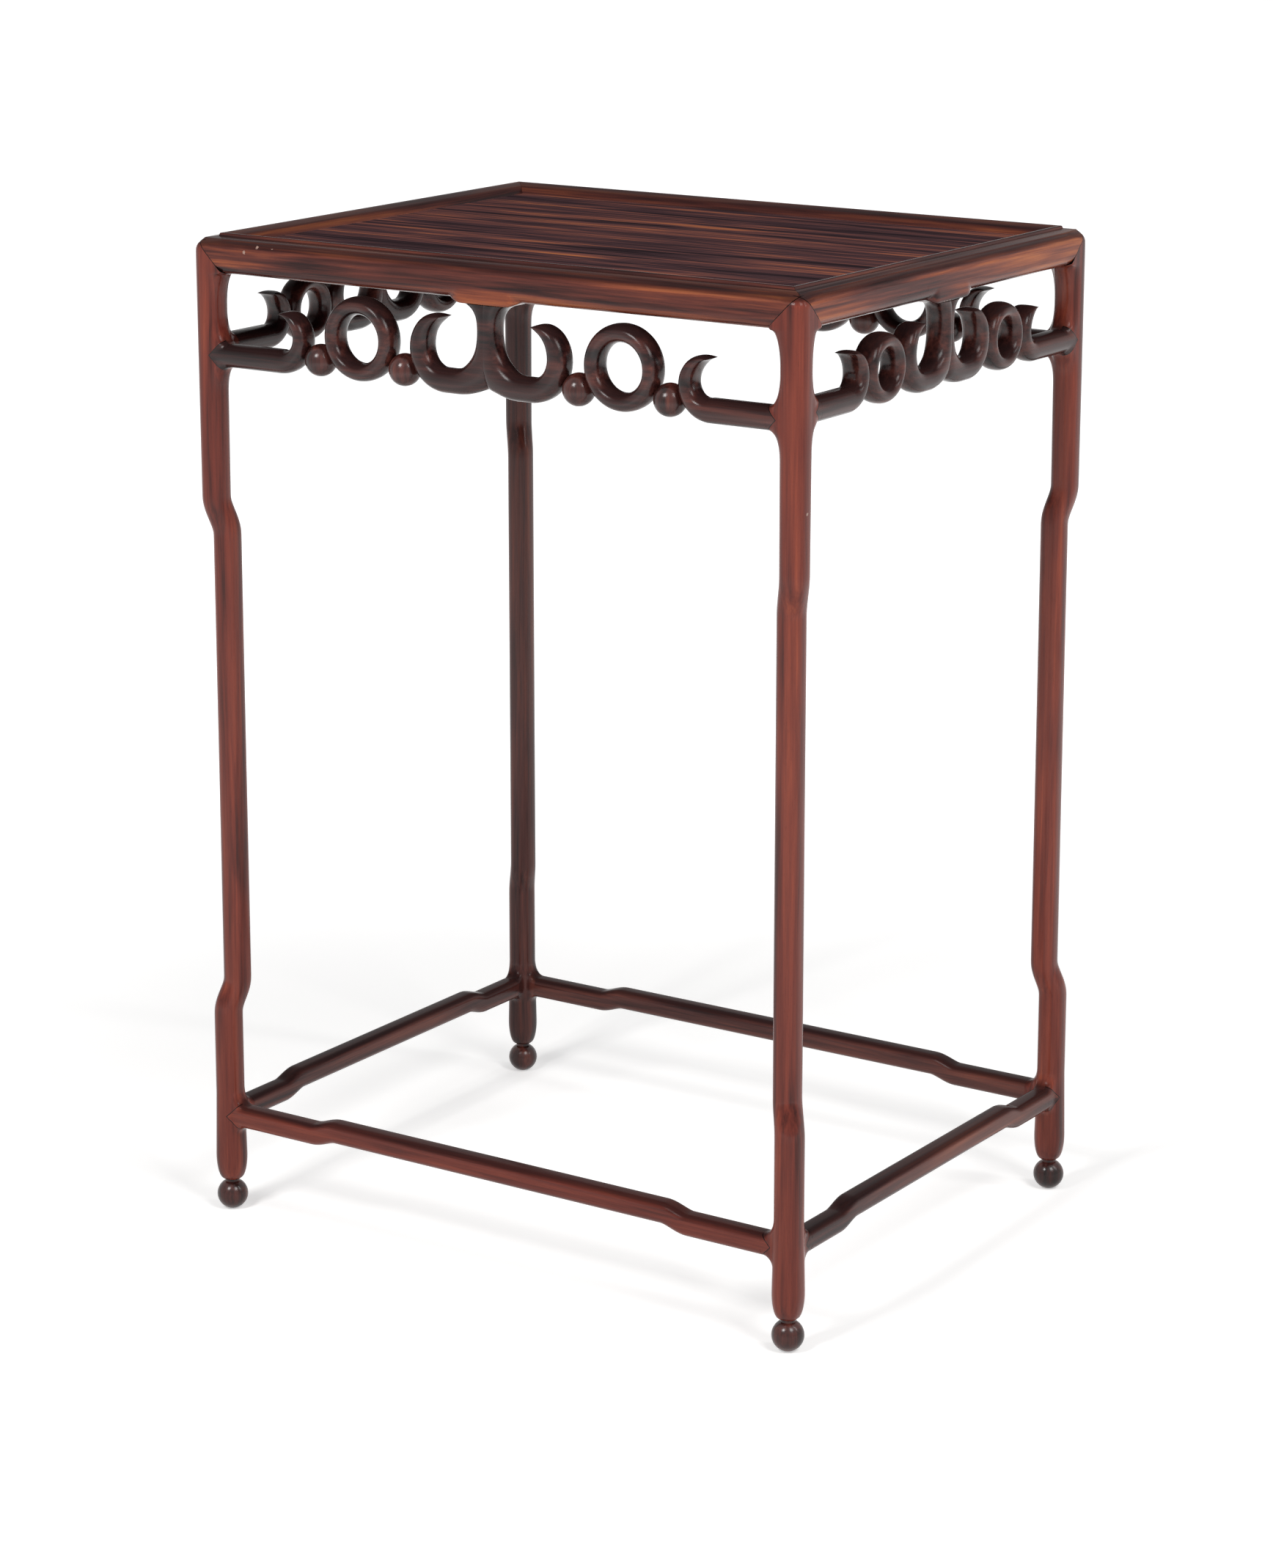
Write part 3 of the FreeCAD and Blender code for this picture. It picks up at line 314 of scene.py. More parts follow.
def waxed_hardwood(name, tones, contrast, gloss, own_timber=True, jointed=True):
    """Old rosewood under wax: dark and red stripes along the grain, fine pores, soft shine."""
    material = bpy.data.materials.new(name)
    material.use_nodes = True
    tree = material.node_tree
    tree.nodes.clear()
    if own_timber:
        timber = add(tree, "Attribute", {}, attribute_name="timber").outputs["Vector"]
    else:
        timber = add(tree, "TexCoord", {}).outputs["Object"]
    grain = {}
    for pattern, (run, across, detail, roughness, bend) in GRAIN.items():
        scale = (1000 / run, 1000 / across, 1000 / across)
        stretched = add(tree, "Mapping", {"Vector": timber, "Scale": scale}).outputs["Vector"]
        grain[pattern] = add(tree, "TexNoise", {
            "Vector": stretched, "Scale": 1.0, "Detail": detail, "Roughness": roughness, "Distortion": bend,
        }).outputs["Fac"]
    tone = striped(tree, grain, tones, contrast)
    pores = add(tree, "MapRange", {
        "Value": grain["pores"], "From Min": 0.62, "From Max": 0.72, "To Min": 0.0, "To Max": 0.3,
    }).outputs["Result"]
    tone = add(tree, "Mix", {0: pores, 6: tone, 7: srgb(PORE)}, data_type="RGBA").outputs[2]
    height = grain["pores"]
    if jointed:
        # painted shade on what faces up: its colour is darkened by how far it faces up, and its shine is
        # turned down with it
        normal = add(tree, "NewGeometry", {}).outputs["Normal"]
        facing = add(tree, "SeparateXYZ", {"Vector": normal}).outputs["Z"]
        painted_top_shade = add(tree, "MapRange", {
            "Value": facing, "From Min": 0.25, "From Max": 0.75, "To Min": 0.0, "To Max": 0.8,
        }).outputs["Result"]
        tone = add(tree, "Mix", {0: painted_top_shade, 6: tone, 7: srgb(PAINTED_TOP_SHADE)}, data_type="RGBA").outputs[2]
        gloss = add(tree, "MapRange", {
            "Value": facing, "From Min": 0.15, "From Max": 0.6, "To Min": gloss, "To Max": 0.02,
        }).outputs["Result"]
        metres = add(tree, "TexCoord", {}).outputs["Object"]
        spot = add(tree, "Mapping", {"Vector": metres, "Scale": (1000, 1000, 1000)}).outputs["Vector"]
        chipped = chips(tree, spot)
        tone = add(tree, "Mix", {0: chipped, 6: tone, 7: srgb(CHIPPED)}, data_type="RGBA").outputs[2]
        line = joint_lines(tree, spot)
        tone = add(tree, "Mix", {0: line, 6: tone, 7: srgb(OPEN_JOINT)}, data_type="RGBA").outputs[2]
        height = add(
            tree, "Math", {0: line, 1: -2.0, 2: grain["pores"]}, operation="MULTIPLY_ADD"
        ).outputs[0]
    sheen = add(tree, "MapRange", {
        "Value": grain["stripe"], "From Min": 0.3, "From Max": 0.7, "To Min": 0.17, "To Max": 0.26,
    }).outputs["Result"]
    bump = add(tree, "Bump", {"Strength": 0.08, "Distance": 0.0003, "Height": height}).outputs["Normal"]
    wood = add(tree, "BsdfPrincipled", {
        "Base Color": tone, "Roughness": sheen, "Specular IOR Level": gloss, "Normal": bump,
    })
    add(tree, "OutputMaterial", {"Surface": wood.outputs["BSDF"]})
    return material


# the legs and the front stretcher, scraped and waxed: long red stripes under a soft shine
leg_wood = waxed_hardwood("waxed rosewood, red", ("431e1a", "6a2f26", "803c2e", "9e5038"), 0.8, 0.22)
# the other stretchers and the back leg: browner boards, and darker than the red wood as painted shade on
# what stands away from the front light; even and deep, with the same shine
shaded_brown_wood = waxed_hardwood("waxed rosewood, brown, painted shade", ("2a1515", "4b2824", "66372e", "824836"), 0.85, 0.24)
# the tray's rails, from the showiest boards: bright flames over a nearly black ground
rail_wood = waxed_hardwood("waxed rosewood, flamed", ("2a1616", "5d2f28", "884832", "b4683c"), 1.0, 0.19)
# the aprons, sawn, filed and waxed thickest: nearly black, with clear highlights on their rounds
apron_wood = waxed_hardwood("waxed rosewood, dark", ("180d0d", "361b19", "532c26", "723c30"), 0.85, 0.34)
# balls and feet, turned and burnished on the lathe: dark, with one bright highlight each
turned_wood = waxed_hardwood(
    "turned rosewood", ("1b0f0e", "3a1c19", "542b25", "703c2e"), 0.85, 0.34, jointed=False
)
# the panel, planed and rubbed dull: its broad orange stripes show even at a low angle
panel_wood = waxed_hardwood(
    "rubbed rosewood, striped", ("292023", "453235", "73473f", "b06a40"), 1.1, 0.0,
    own_timber=False, jointed=False,
)


# Making woodwork

def smoothed(rows, steps):
    """Rows of a table with more rows between them, on a smooth curve through each column."""
    ends = [rows[0], *rows, rows[-1]]
    made = []
    for before, start, stop, after in zip(ends, ends[1:], ends[2:], ends[3:]):
        for step in range(steps):
            t = step / steps
            made.append(tuple(
                b + t * (c - a + t * (2 * a - 5 * b + 4 * c - d + t * (3 * b - a - 3 * c + d))) / 2
                for a, b, c, d in zip(before, start, stop, after)
            ))
    return made + [tuple(rows[-1])]


def place(centre, across, along, half_across, half_along):
    """Where a stick's section lies: the unit square's middle, its two half sides and its face."""
    face = across.cross(along).normalized()
    rows = [[*(across * half_across), 0], [*(along * half_along), 0], [*face, 0], [*centre, 1]]
    return Matrix(rows).transposed()


def rounded_square(bm, rounding):
    """A square two units wide with rounded corners."""
    square = bmesh.ops.create_circle(
        bm, cap_ends=True, segments=4, radius=math.sqrt(2), matrix=Matrix.Rotation(math.pi / 4, 4, "Z")
    )["verts"]
    return bmesh.ops.bevel(
        bm, geom=square, offset=rounding, affect="VERTICES", segments=CORNER_STEPS, profile=0.5,
        material=-1,
    )["verts"]


def stick(bm, places, rounding):
    """A closed stick of rounded section, drawn out from place to place."""
    verts = rounded_square(bm, rounding)
    edges = list({edge for vert in verts for edge in vert.link_edges})
    bmesh.ops.transform(bm, matrix=places[0], verts=verts)
    for before, after in zip(places, places[1:]):
        grown = bmesh.ops.extrude_edge_only(bm, edges=edges)["geom"]
        verts = [item for item in grown if isinstance(item, bmesh.types.BMVert)]
        edges = [item for item in grown if isinstance(item, bmesh.types.BMEdge) and item.is_boundary]
        bmesh.ops.transform(bm, matrix=after @ before.inverted(), verts=verts)
    bmesh.ops.contextual_create(bm, geom=edges)


def saw(bm, point, normal):
    """Saws off all that lies beyond a plane and closes the cut."""
    geom = list(bm.verts) + list(bm.edges) + list(bm.faces)
    cut = bmesh.ops.bisect_plane(
        bm, geom=geom, plane_co=point, plane_no=normal.normalized(), dist=1e-4, clear_outer=True
    )["geom_cut"]
    edges = [item for item in cut if isinstance(item, bmesh.types.BMEdge) and item.is_boundary]
    bmesh.ops.holes_fill(bm, edges=edges, sides=0)


def carried(source, matrix):
    """A copy of some woodwork, carried elsewhere."""
    made = source.copy()
    made.transform(matrix)
    return made


def join(bm, others):
    """Adds copies of other woodwork to bm."""
    for other in others:
        held = bpy.data.meshes.new("held")
        other.to_mesh(held)
        bm.from_mesh(held)
        bpy.data.meshes.remove(held)


def piece(name, bm, material, grain):
    """Finishes a piece of the table in metres, in place of its node, with its own timber."""
    bmesh.ops.recalc_face_normals(bm, faces=bm.faces)
    bmesh.ops.scale(bm, vec=(0.001, 0.001, 0.001), verts=bm.verts)
    mesh = bpy.data.meshes.new(name)
    bm.to_mesh(mesh)
    mesh.shade_smooth()
    mesh.set_sharp_from_angle(angle=CRISP)
    start = Vector([rng.uniform(-5, 5) for _ in range(3)])
    turn = grain.rotation_difference(EAST).to_matrix()
    timber = mesh.attributes.new("timber", "FLOAT_VECTOR", "POINT")
    for vert, held in zip(mesh.vertices, timber.data):
        held.vector = turn @ vert.co + start
    mesh.materials.append(material)
    made = bpy.data.objects.new(name, mesh)
    bpy.context.scene.collection.objects.link(made)
    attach(made, "root")
    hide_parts(name)


def corner_place(name):
    """From the corner frame to one of the table's corners."""
    east, north = CORNERS[name]
    return Matrix.Diagonal((east, north, 1, 1)) @ Matrix.Translation((-HALF_LONG, -HALF_SHORT, 0))


# Legs

def crank_places(middle, length, start, stop, below, above):
    """A soft S-bend towards the table's middle, its sections square to its path."""
    made = []
    for step in range(LEG_STEPS + 1):
        share = step / LEG_STEPS
        offset = start + (stop - start) * share * share * (3 - 2 * share)
        slope = (stop - start) * 6 * share * (1 - share) / length
        lean = Matrix.Rotation(-math.atan(slope * math.sqrt(2)), 3, EAST - NORTH)
        centre = (EAST + NORTH) * offset + UP * (middle + length * (share - 0.5))
        half = (below + (above - below) * share) / 2
        made.append(place(centre, lean @ EAST, lean @ NORTH, half, half))
    return made


def level_place(level, half):
    """A level section of the leg where it stands on its own axis."""
    return place(UP * level, EAST, NORTH, half, half)


def leg_column(bm):
    """The leg from its rounded end above the ball foot up to its head between the rails."""
    made = []
    for step in range(END_STEPS + 1):
        turn = math.pi / 2 * step / END_STEPS
        half = (LEG_END_WIDTH + (FOOT - LEG_END_WIDTH) * math.sin(turn)) / 2
        made.append(level_place(LEG_END + (FOOT_WIDEST - LEG_END) * (1 - math.cos(turn)), half))
    made.append(level_place(STRETCHER_CENTRE + 2 * STRETCHER_HALF, SHIN / 2))
    made += crank_places(LOW_CRANK, LOW_CRANK_LENGTH, 0.0, CRANK_IN, SHIN, MIDDLE)
    made += crank_places(HIGH_CRANK, HIGH_CRANK_LENGTH, CRANK_IN, 0.0, MIDDLE, WAIST)
    made.append(level_place(RAIL_UNDER, HALF_LEG))
    made.append(level_place(RAIL_UNDER + LEG_INSIDE, HALF_LEG))
    stick(bm, made, LEG_ROUND)


def flare(bm, across, beside, start, level, height, face, half_depth):
    """The leg's hollow widening, from a bar or rail at one level to the leg's own width."""
    made = [(start, SHOULDER, half_depth)]
    for step in range(LEG_STEPS + 1):
        turn = math.pi / 2 * step / LEG_STEPS
        reach = face + (SHOULDER - face) * (1 - math.sin(turn))
        deep = half_depth + (face - half_depth) * math.sin(turn)
        made.append((level + height * (1 - math.cos(turn)), reach, deep))
    stick(bm, [
        place(across * ((reach - face) / 2) + UP * spot, across, beside, (reach + face) / 2, deep)
        for spot, reach, deep in made
    ], LEG_ROUND)


def ears(bm, across, beside, kind):
    """The ears for a stretcher and an apron's bar, and the leg's hollow head under the rail."""
    low, high = bar_levels(kind)
    under, over = STRETCHER_CENTRE - STRETCHER_HALF, STRETCHER_CENTRE + STRETCHER_HALF
    for bottom, top, half_depth, rounding, height, face in (
        (under, over, STRETCHER_HALF, STRETCHER_ROUND, STRETCHER_FLARE, STRETCHER_FACE),
        (low, high, APRON_HALF_DEPTH, LINK_ROUND, APRON_FLARE, BAR_FACE),
    ):
        middle = (bottom + top) / 2
        stick(bm, [
            place(across * reach + UP * middle, beside, UP, half_depth, (top - bottom) / 2)
            for reach in (SHOULDER + SAWN_OFF, 0.0)
        ], rounding)
        flare(bm, across, beside, middle, bottom, -UNDER_FLARE * height, face, half_depth)
        flare(bm, across, beside, middle, top, height, face, half_depth)
    flare(bm, across, beside, RAIL_UNDER + HEAD_INSIDE, RAIL_UNDER, -HEAD_FLARE, HEAD_FACE, HEAD_FACE)


def carved(bm, fineness, passes):
    """Sticks that were cut from one piece of wood, run softly into one another by hand."""
    rough = bpy.data.meshes.new("rough")
    bm.to_mesh(rough)
    bm.free()
    blank = bpy.data.objects.new("rough", rough)
    bpy.context.scene.collection.objects.link(blank)
    blend = blank.modifiers.new("blend", "REMESH")
    blend.mode = "VOXEL"
    blend.voxel_size = fineness
    evaluated = blank.evaluated_get(bpy.context.evaluated_depsgraph_get())
    made = bmesh.new()
    made.from_mesh(evaluated.to_mesh())
    evaluated.to_mesh_clear()
    bpy.data.objects.remove(blank)
    bpy.data.meshes.remove(rough)
    for _ in range(passes):
        bmesh.ops.smooth_vert(
            made, verts=made.verts, factor=0.5, use_axis_x=True, use_axis_y=True, use_axis_z=True
        )
    return made


def rail_run(length):
    """A straight run of the rail's moulded section: along X, with Y inward from its face."""
    bm = bmesh.new()
    corners = [bm.verts.new((0, inset, level)) for inset, level, _, _ in RAIL_SECTION]
    bm.faces.new(corners)
    for corner, (_, _, rounding, steps) in zip(corners, RAIL_SECTION):
        bmesh.ops.bevel(
            bm, geom=[corner], offset=rounding, affect="VERTICES", segments=steps, profile=0.5,
            material=-1,
        )
    grown = bmesh.ops.extrude_face_region(bm, geom=list(bm.faces))["geom"]
    moved = [item for item in grown if isinstance(item, bmesh.types.BMVert)]
    bmesh.ops.translate(bm, vec=EAST * length, verts=moved)
    bmesh.ops.recalc_face_normals(bm, faces=bm.faces)
    return bm


def round_corner(bm, hub, first, last, cuts):
    """Saws a corner round between two outward directions, and domed above, like a pillow's."""
    for cut in range(cuts):
        turn = math.pi / 2 * (cut + 0.5) / CORNER_CUTS
        level = first * math.cos(turn) + last * math.sin(turn)
        for tilt in CORNER_TILTS:
            normal = level * math.cos(tilt) + UP * math.sin(tilt)
            saw(bm, hub + normal * PLAN_CORNER, normal)


def leg_corner(across, beside):
    """The leg's share of a rail: the same moulded section, up to the mitre on the face."""
    made = rail_run(CORNER_RUN)
    outer = Vector((-HALF_LEG, -HALF_LEG, 0))
    turned = place(outer, across, beside, 1, 1)
    made.transform(turned if across.cross(beside).z > 0 else turned @ Matrix.Diagonal((1, 1, -1, 1)))
    bmesh.ops.recalc_face_normals(made, faces=made.faces)
    hub = (EAST + NORTH) * (PLAN_CORNER - HALF_LEG) + UP * DOME_LEVEL
    round_corner(made, hub, -EAST, -NORTH, CORNER_CUTS)
    return made


leg = bmesh.new()
leg_column(leg)
ears(leg, EAST, NORTH, LONG)
ears(leg, NORTH, EAST, SHORT)
join(leg, [leg_corner(EAST, NORTH), leg_corner(NORTH, EAST)])
leg = carved(leg, *LEG_CARVING)
# the ears' square ends, and the face mitres from each top corner to the opening's inner corner
for across in (EAST, NORTH):
    saw(leg, across * SHOULDER, across)
    mitre = (UP + across).normalized()
    saw(leg, UP * RAIL_UNDER + across * SHOULDER - mitre * JOINT_GAP / 2, mitre)


def lap(across, beside, level, tip):
    """The pointed end of a bar, let into the outer half of the leg's ear."""
    made = leg.copy()
    saw(made, beside * -LAP_DEPTH, beside)
    saw(made, across * tip + UP * level, UP - across)
    saw(made, across * tip + UP * level, -UP - across)
    centre = across * SHOULDER - beside * LAP_DEPTH + UP * level
    lift = 1 + PROUD / (HALF_LEG - LAP_DEPTH)
    made.transform(Matrix.Translation(centre) @ Matrix.Scale(lift, 4) @ Matrix.Translation(-centre))
    return made


def turned_foot():
    """A turned ball, flat where it stands, with a short neck up into the leg."""
    bm = bmesh.new()
    bmesh.ops.create_uvsphere(
        bm, u_segments=48, v_segments=28, radius=FOOT_BALL_RADIUS,
        matrix=Matrix.Translation(UP * FOOT_BALL_CENTRE),
    )
    saw(bm, Vector(), -UP)
    neck = LEG_END - FOOT_BALL_CENTRE
    bmesh.ops.create_cone(
        bm, cap_ends=True, segments=48, radius1=FOOT_NECK_RADIUS, radius2=FOOT_NECK_RADIUS,
        depth=neck, matrix=Matrix.Translation(UP * (FOOT_BALL_CENTRE + neck / 2 + FOOT_NECK_INSIDE)),
    )
    return bm


foot = turned_foot()
for name in CORNERS:
    # the far leg takes the darker wood, partly as painted shade
    wood = shaded_brown_wood if name == "back_left" else leg_wood
    piece("leg_" + name, carried(leg, corner_place(name)), wood, UP)
    piece("ball_foot_" + name, carried(foot, corner_place(name)), turned_wood, UP)


# Stretchers and aprons

def stretcher(kind, middle, along, out):
    """A cranked stretcher between two legs' ears, about the middle of its side."""
    end = kind["half"] - SHOULDER
    bend = kind["half"] - kind["crank"]
    start = bend - STRETCHER_CRANK / 2
    inner = [start + STRETCHER_CRANK * step / CRANK_STEPS for step in range(CRANK_STEPS + 1)]
    made = []
    for spot in sorted([-end, end] + inner + [-spot for spot in inner]):
        share = min(max((bend + STRETCHER_CRANK / 2 - abs(spot)) / STRETCHER_CRANK, 0.0), 1.0)
        rise = STRETCHER_RISE * share * share * (3 - 2 * share)
        slope = -math.copysign(STRETCHER_RISE * 6 * share * (1 - share) / STRETCHER_CRANK, spot)
        centre = middle + along * spot + UP * (STRETCHER_CENTRE + rise)
        over = (UP - along * slope).normalized()
        made.append(place(centre, out, over, STRETCHER_HALF, STRETCHER_HALF))
    bm = bmesh.new()
    stick(bm, made, STRETCHER_ROUND)
    return bm


def horn(rows, hub, away, out, radius, root, depth):
    """A crescent round its hub, from its chisel tip to its root."""
    made = []
    for angle, reach, thick, deep in smoothed(rows, HORN_STEPS):
        turn = math.radians(angle)
        outward = away * math.cos(turn) + UP * math.sin(turn)
        centre = hub + outward * (radius * reach - root * thick / 2)
        made.append(place(centre, out, outward, depth * deep, root * thick / 2))
    return made


def end_hook(hub, away, out, kind):
    """A crescent and its bar, which runs back to the leg's ear."""
    level, radius = kind["hook"]
    made = horn(END_HORN, hub, away, out, radius, kind["bar"], APRON_HALF_DEPTH)
    reach = kind["half"] - SHOULDER - abs(hub.dot(away))
    centre = hub - UP * (radius - kind["bar"] / 2) - away * reach
    made.append(place(centre, out, -UP, APRON_HALF_DEPTH, kind["bar"] / 2))
    bm = bmesh.new()
    stick(bm, made, LINK_ROUND)
    return bm


def double_hook(middle, along, out, kind):
    """Two crescents back to back, each running on up the post they share to its flared head."""
    offset, level, radius, root = kind["double"]
    base, depth = level - radius, APRON_HALF_DEPTH
    bm = bmesh.new()
    for away in (-along, along):
        hub = middle + away * offset + UP * level
        made = horn(DOUBLE_HORN, hub, away, out, radius, root, depth)
        for hidden, hidden_rise, open_edge, open_rise in smoothed(POST, POST_STEPS):
            hidden_side = middle + away * (offset * hidden) + UP * (base + (SEAT - base) * hidden_rise)
            open_side = middle + away * (offset * open_edge) + UP * (base + (SEAT - base) * open_rise)
            reach = hidden_side - open_side
            centre = (hidden_side + open_side) / 2
            made.append(place(centre, out, reach.normalized(), depth, reach.length / 2))
        stick(bm, made, LINK_ROUND)
        # the two halves meet in one face, so one of them lies a hair deeper
        depth -= PROUD
    return bm


def ring(hub, along, out, radius, hole):
    """A ring with softly rounded edges, turned about its own axis."""
    bm = bmesh.new()
    section = rounded_square(bm, RING_ROUND)
    centre = hub + along * ((radius + hole) / 2)
    lying = place(centre, along, out, (radius - hole) / 2, APRON_HALF_DEPTH)
    bmesh.ops.transform(bm, matrix=lying, verts=section)
    bmesh.ops.delete(bm, geom=list(bm.faces), context="FACES_ONLY")
    bmesh.ops.spin(
        bm, geom=list(bm.verts) + list(bm.edges), cent=hub, axis=out, angle=math.tau, steps=80,
        use_merge=True,
    )
    return bm


def ball(hub):
    """A small turned ball, its poles front and back."""
    bm = bmesh.new()
    turned = Matrix.Translation(hub) @ Matrix.Rotation(math.pi / 2, 4, "X")
    bmesh.ops.create_uvsphere(bm, u_segments=44, v_segments=26, radius=BALL_RADIUS, matrix=turned)
    return bm


def chain(kind):
    """The hubs from the middle of an apron outward, each rim just biting into the last."""
    offset, level, radius, _ = kind["double"]
    links = [("double", level, radius), ("ring", *kind["ring"][:2]), ("hook", *kind["hook"])]
    if kind is LONG:
        links.insert(1, ("inner", BALL_LEVEL, BALL_RADIUS))
        links.insert(3, ("outer", BALL_LEVEL, BALL_RADIUS))
    made = {"double": (offset, level)}
    spot = offset
    for (_, here, rim), (name, there, next_rim) in zip(links, links[1:]):
        spot += math.sqrt((rim + next_rim - RIM_BITE) ** 2 - (here - there) ** 2)
        made[name] = (spot, there)
    return made


def corner_between(side, end):
    """The corner where a side has one of its ends."""
    return [name for name in CORNERS if side in name and end in name][0]


for side, (kind, other, along, out, ends) in SIDES.items():
    middle = out * other["half"]
    ways = (EAST, NORTH) if kind is LONG else (NORTH, EAST)
    corners = [corner_between(side, end) for end in ends]
    tips = [NEAR_SHOULDER_TIP if corner == "front_right" else SHOULDER_TIP for corner in corners]
    bar = stretcher(kind, middle, along, out)
    join(bar, [
        carried(lap(*ways, STRETCHER_CENTRE, tip), corner_place(corner))
        for corner, tip in zip(corners, tips)
    ])
    # all but the front stretcher take the darker wood, partly as painted shade
    piece(side + "_stretcher", bar, leg_wood if side == "front" else shaded_brown_wood, along)
    made = double_hook(middle, along, out, kind)
    piece(side + "_apron_double_hook", made, apron_wood, along)
    for sign, end, corner, tip in zip((-1, 1), ends, corners, tips):
        hubs = {
            name: middle + along * (sign * spot) + UP * level
            for name, (spot, level) in chain(kind).items()
        }
        hook = end_hook(hubs["hook"], along * -sign, out, kind)
        bar_level = sum(bar_levels(kind)) / 2
        join(hook, [carried(lap(*ways, bar_level, tip), corner_place(corner))])
        piece("%s_apron_hook_%s" % (side, end), hook, apron_wood, along)
        made = ring(hubs["ring"], along, out, *kind["ring"][1:])
        piece("%s_apron_ring_%s" % (side, end), made, apron_wood, along)
        for stage in ("inner", "outer"):
            if stage in hubs:
                name = "%s_apron_ball_%s_%s" % (side, end, stage)
                piece(name, ball(hubs[stage]), turned_wood, UP)


# Tray frame

def rail_blank(face, half, along, out):
    """A run of rail section along a side's face, half its length either way."""
    bm = rail_run(2 * half)
    start = out * face - along * half
    bm.transform(Matrix([[*along, 0], [*-out, 0], [*UP, 0], [*start, 1]]).transposed())
    bmesh.ops.recalc_face_normals(bm, faces=bm.faces)
    return bm


def rail(kind, other, along, out):
    """A rail of the tray frame, mitred to its neighbours on top and to the legs on its face."""
    face, half = other["half"] + HALF_LEG, kind["half"] + HALF_LEG
    bm = rail_blank(face, half, along, out)
    for end in (-along, along):
        across = (end - out).normalized()
        saw(bm, end * half + out * face - across * JOINT_GAP / 2, across)
        mitre = (UP - end).normalized()
        inner = end * (kind["half"] - SHOULDER) + UP * RAIL_UNDER
        saw(bm, inner + mitre * JOINT_GAP / 2, -mitre)
        hub = end * (half - PLAN_CORNER) + out * (face - PLAN_CORNER) + UP * DOME_LEVEL
        # past its mitre a rail needs no more cuts than those on its own half
        round_corner(bm, hub, out, end, CORNER_CUTS // 2 + 1)
    return bm


def stub(other, along, out):
    """Where a rail's under edge sweeps down to a double hook's head, carved as one with it."""
    reach = SEAT_HALF + STUB_SWEEP
    made = []
    high = RAIL_UNDER + STUB_INSIDE
    for step in range(-STUB_STEPS, STUB_STEPS + 1):
        spot = reach * step / STUB_STEPS
        beyond = max(abs(spot) - SEAT_HALF, 0.0) / STUB_SWEEP
        low = SEAT + JOINT_GAP + STUB_RISE * beyond ** 1.5
        front = HALF_LEG - STUB_SET_BACK * beyond ** 2
        centre = out * (other["half"] + (front - HALF_LEG) / 2) + along * spot
        made.append(place(
            centre + UP * ((low + high) / 2), out, UP, (front + HALF_LEG) / 2, (high - low) / 2
        ))
    bm = rail_blank(other["half"] + HALF_LEG, reach + STUB_BESIDE, along, out)
    saw(bm, UP * (RAIL_UNDER + HEAD_INSIDE), UP)
    stick(bm, made, STUB_ROUND)
    bm = carved(bm, *STUB_CARVING)
    bmesh.ops.translate(bm, vec=out * PROUD, verts=bm.verts)
    return bm


for side, (kind, other, along, out, _) in SIDES.items():
    made = rail(kind, other, along, out)
    join(made, [stub(other, along, out)])
    piece(side + "_rail", made, rail_wood, along)

for name in ("top_panel", "panel_batten_left", "panel_batten_right"):
    nodes[name].material_slots[0].material = panel_wood
for side in SIDES:
    nodes[side + "_apron_dowels"].material_slots[0].material = panel_wood


# Floor, lights and camera, in metres

# how far from the middle the floor's paper starts to fade into the background, and where it ends
FADE_START, FADE_END = 0.45, 1.6


def straight_rays(tree):
    """One for what the camera sees straight, in gloss or through glass, and nought for light."""
    ray = add(tree, "LightPath", {}).outputs
    made = add(tree, "Math", {0: ray["Is Camera Ray"], 1: ray["Is Transmission Ray"]}, operation="MAXIMUM")
    return add(tree, "Math", {0: made.outputs[0], 1: ray["Is Glossy Ray"]}, operation="MAXIMUM").outputs[0]


floor_mesh = bpy.data.meshes.new("floor")
ground = bmesh.new()
bmesh.ops.create_grid(ground, x_segments=1, y_segments=1, size=12.0)
ground.to_mesh(floor_mesh)
floor = bpy.data.objects.new("floor", floor_mesh)
bpy.context.scene.collection.objects.link(floor)

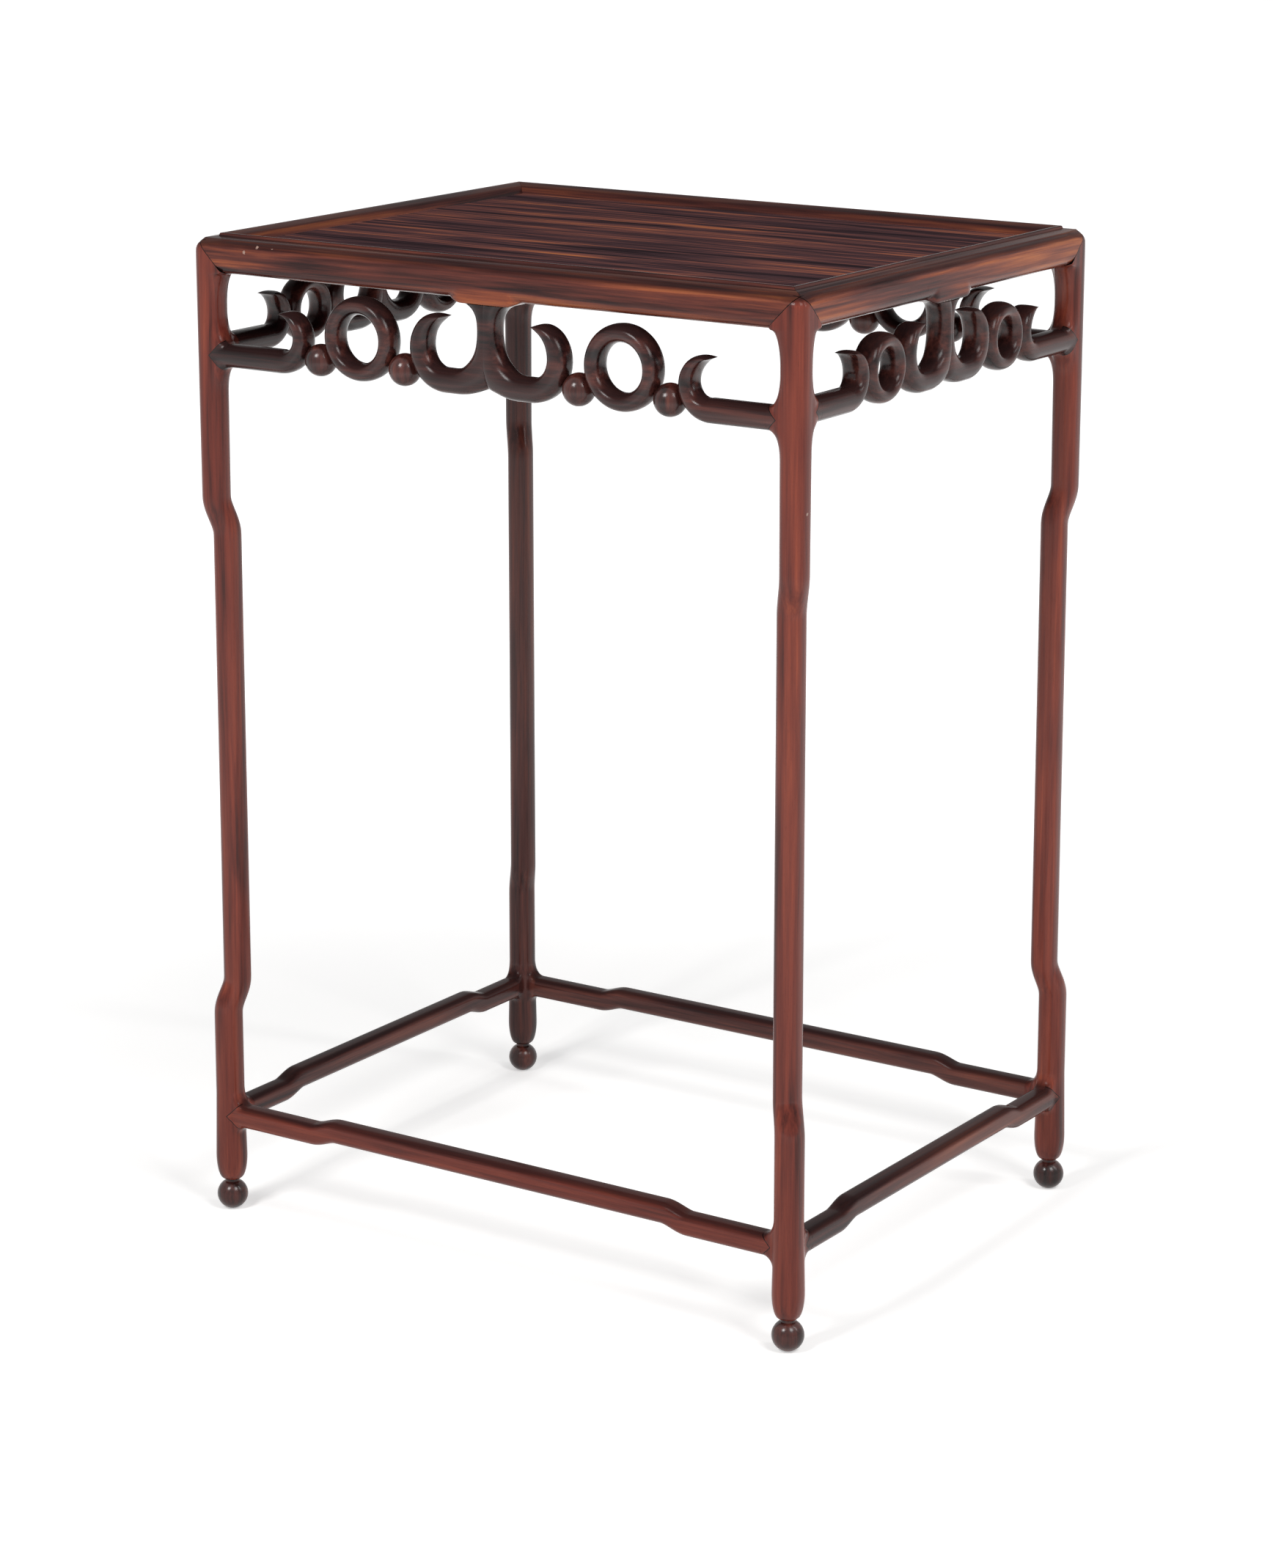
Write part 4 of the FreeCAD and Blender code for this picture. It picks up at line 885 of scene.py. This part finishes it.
# White paper that fades into the white background, for the wood's gloss too, and still takes the
# table's shadow
paper = bpy.data.materials.new("white studio paper")
paper.use_nodes = True
tree = paper.node_tree
tree.nodes.clear()
spot = add(tree, "TexCoord", {}).outputs["Object"]
away = add(tree, "VectorMath", {0: spot}, operation="LENGTH").outputs["Value"]
lift = add(tree, "MapRange", {
    "Value": away, "From Min": FADE_START, "From Max": FADE_END, "To Min": 0.44, "To Max": 1.0,
}, interpolation_type="SMOOTHSTEP").outputs["Result"]
glow = add(tree, "Math", {0: straight_rays(tree), 1: lift}, operation="MULTIPLY").outputs[0]
matt = add(tree, "BsdfPrincipled", {
    "Base Color": srgb(PAPER), "Roughness": 1.0, "Specular IOR Level": 0.0,
    "Emission Color": (1, 1, 1, 1), "Emission Strength": glow,
})
add(tree, "OutputMaterial", {"Surface": matt.outputs["BSDF"]})
floor_mesh.materials.append(paper)

# White behind the table for the camera and in its gloss, and a plain level of light on it
world = bpy.data.worlds.new("studio")
bpy.context.scene.world = world
world.use_nodes = True
tree = world.node_tree
tree.nodes.clear()
surround = add(
    tree, "Mix", {0: straight_rays(tree), 6: (0.22, 0.223, 0.23, 1), 7: (1, 1, 1, 1)}, data_type="RGBA"
).outputs[2]
around = add(tree, "Background", {"Color": surround})
add(tree, "OutputWorld", {"Surface": around.outputs["Background"]})


def lamp(name, spot, aim, width, power):
    """A soft box at a spot, turned to face another."""
    data = bpy.data.lights.new(name, "AREA")
    data.shape = "RECTANGLE"
    data.size, data.size_y = width
    data.energy = power
    made = bpy.data.objects.new(name, data)
    made.location = spot
    made.rotation_euler = (Vector(aim) - Vector(spot)).to_track_quat("-Z", "Y").to_euler()
    bpy.context.scene.collection.objects.link(made)


# one light for the fronts, one for the faces at the right, and one for the glints along the edges
lamp("soft box in front", (-0.29, -2.4, 2.39), (0, 0, 0.4), (0.72, 0.85), 50)
lamp("large soft box at the right", (2.15, -0.92, 2.5), (0, 0, 0.4), (0.9, 1.15), 43)
lamp("strip box at the far right", (1.85, 0.56, 1.75), (0, 0, 0.5), (0.25, 1.3), 9)

CAMERA_YAW, CAMERA_DIP = math.radians(33.754), math.radians(13.002)
lens = bpy.data.cameras.new("camera")
lens.lens = 94.52
lens.sensor_width = 36.0
lens.shift_y = -0.10
camera = bpy.data.objects.new("camera", lens)
camera.location = (1.7723, -2.6621, 1.2197)
camera.rotation_euler = (math.pi / 2 - CAMERA_DIP, 0, CAMERA_YAW)
bpy.context.scene.collection.objects.link(camera)
bpy.context.scene.camera = camera
bpy.context.scene.view_settings.view_transform = "Standard"
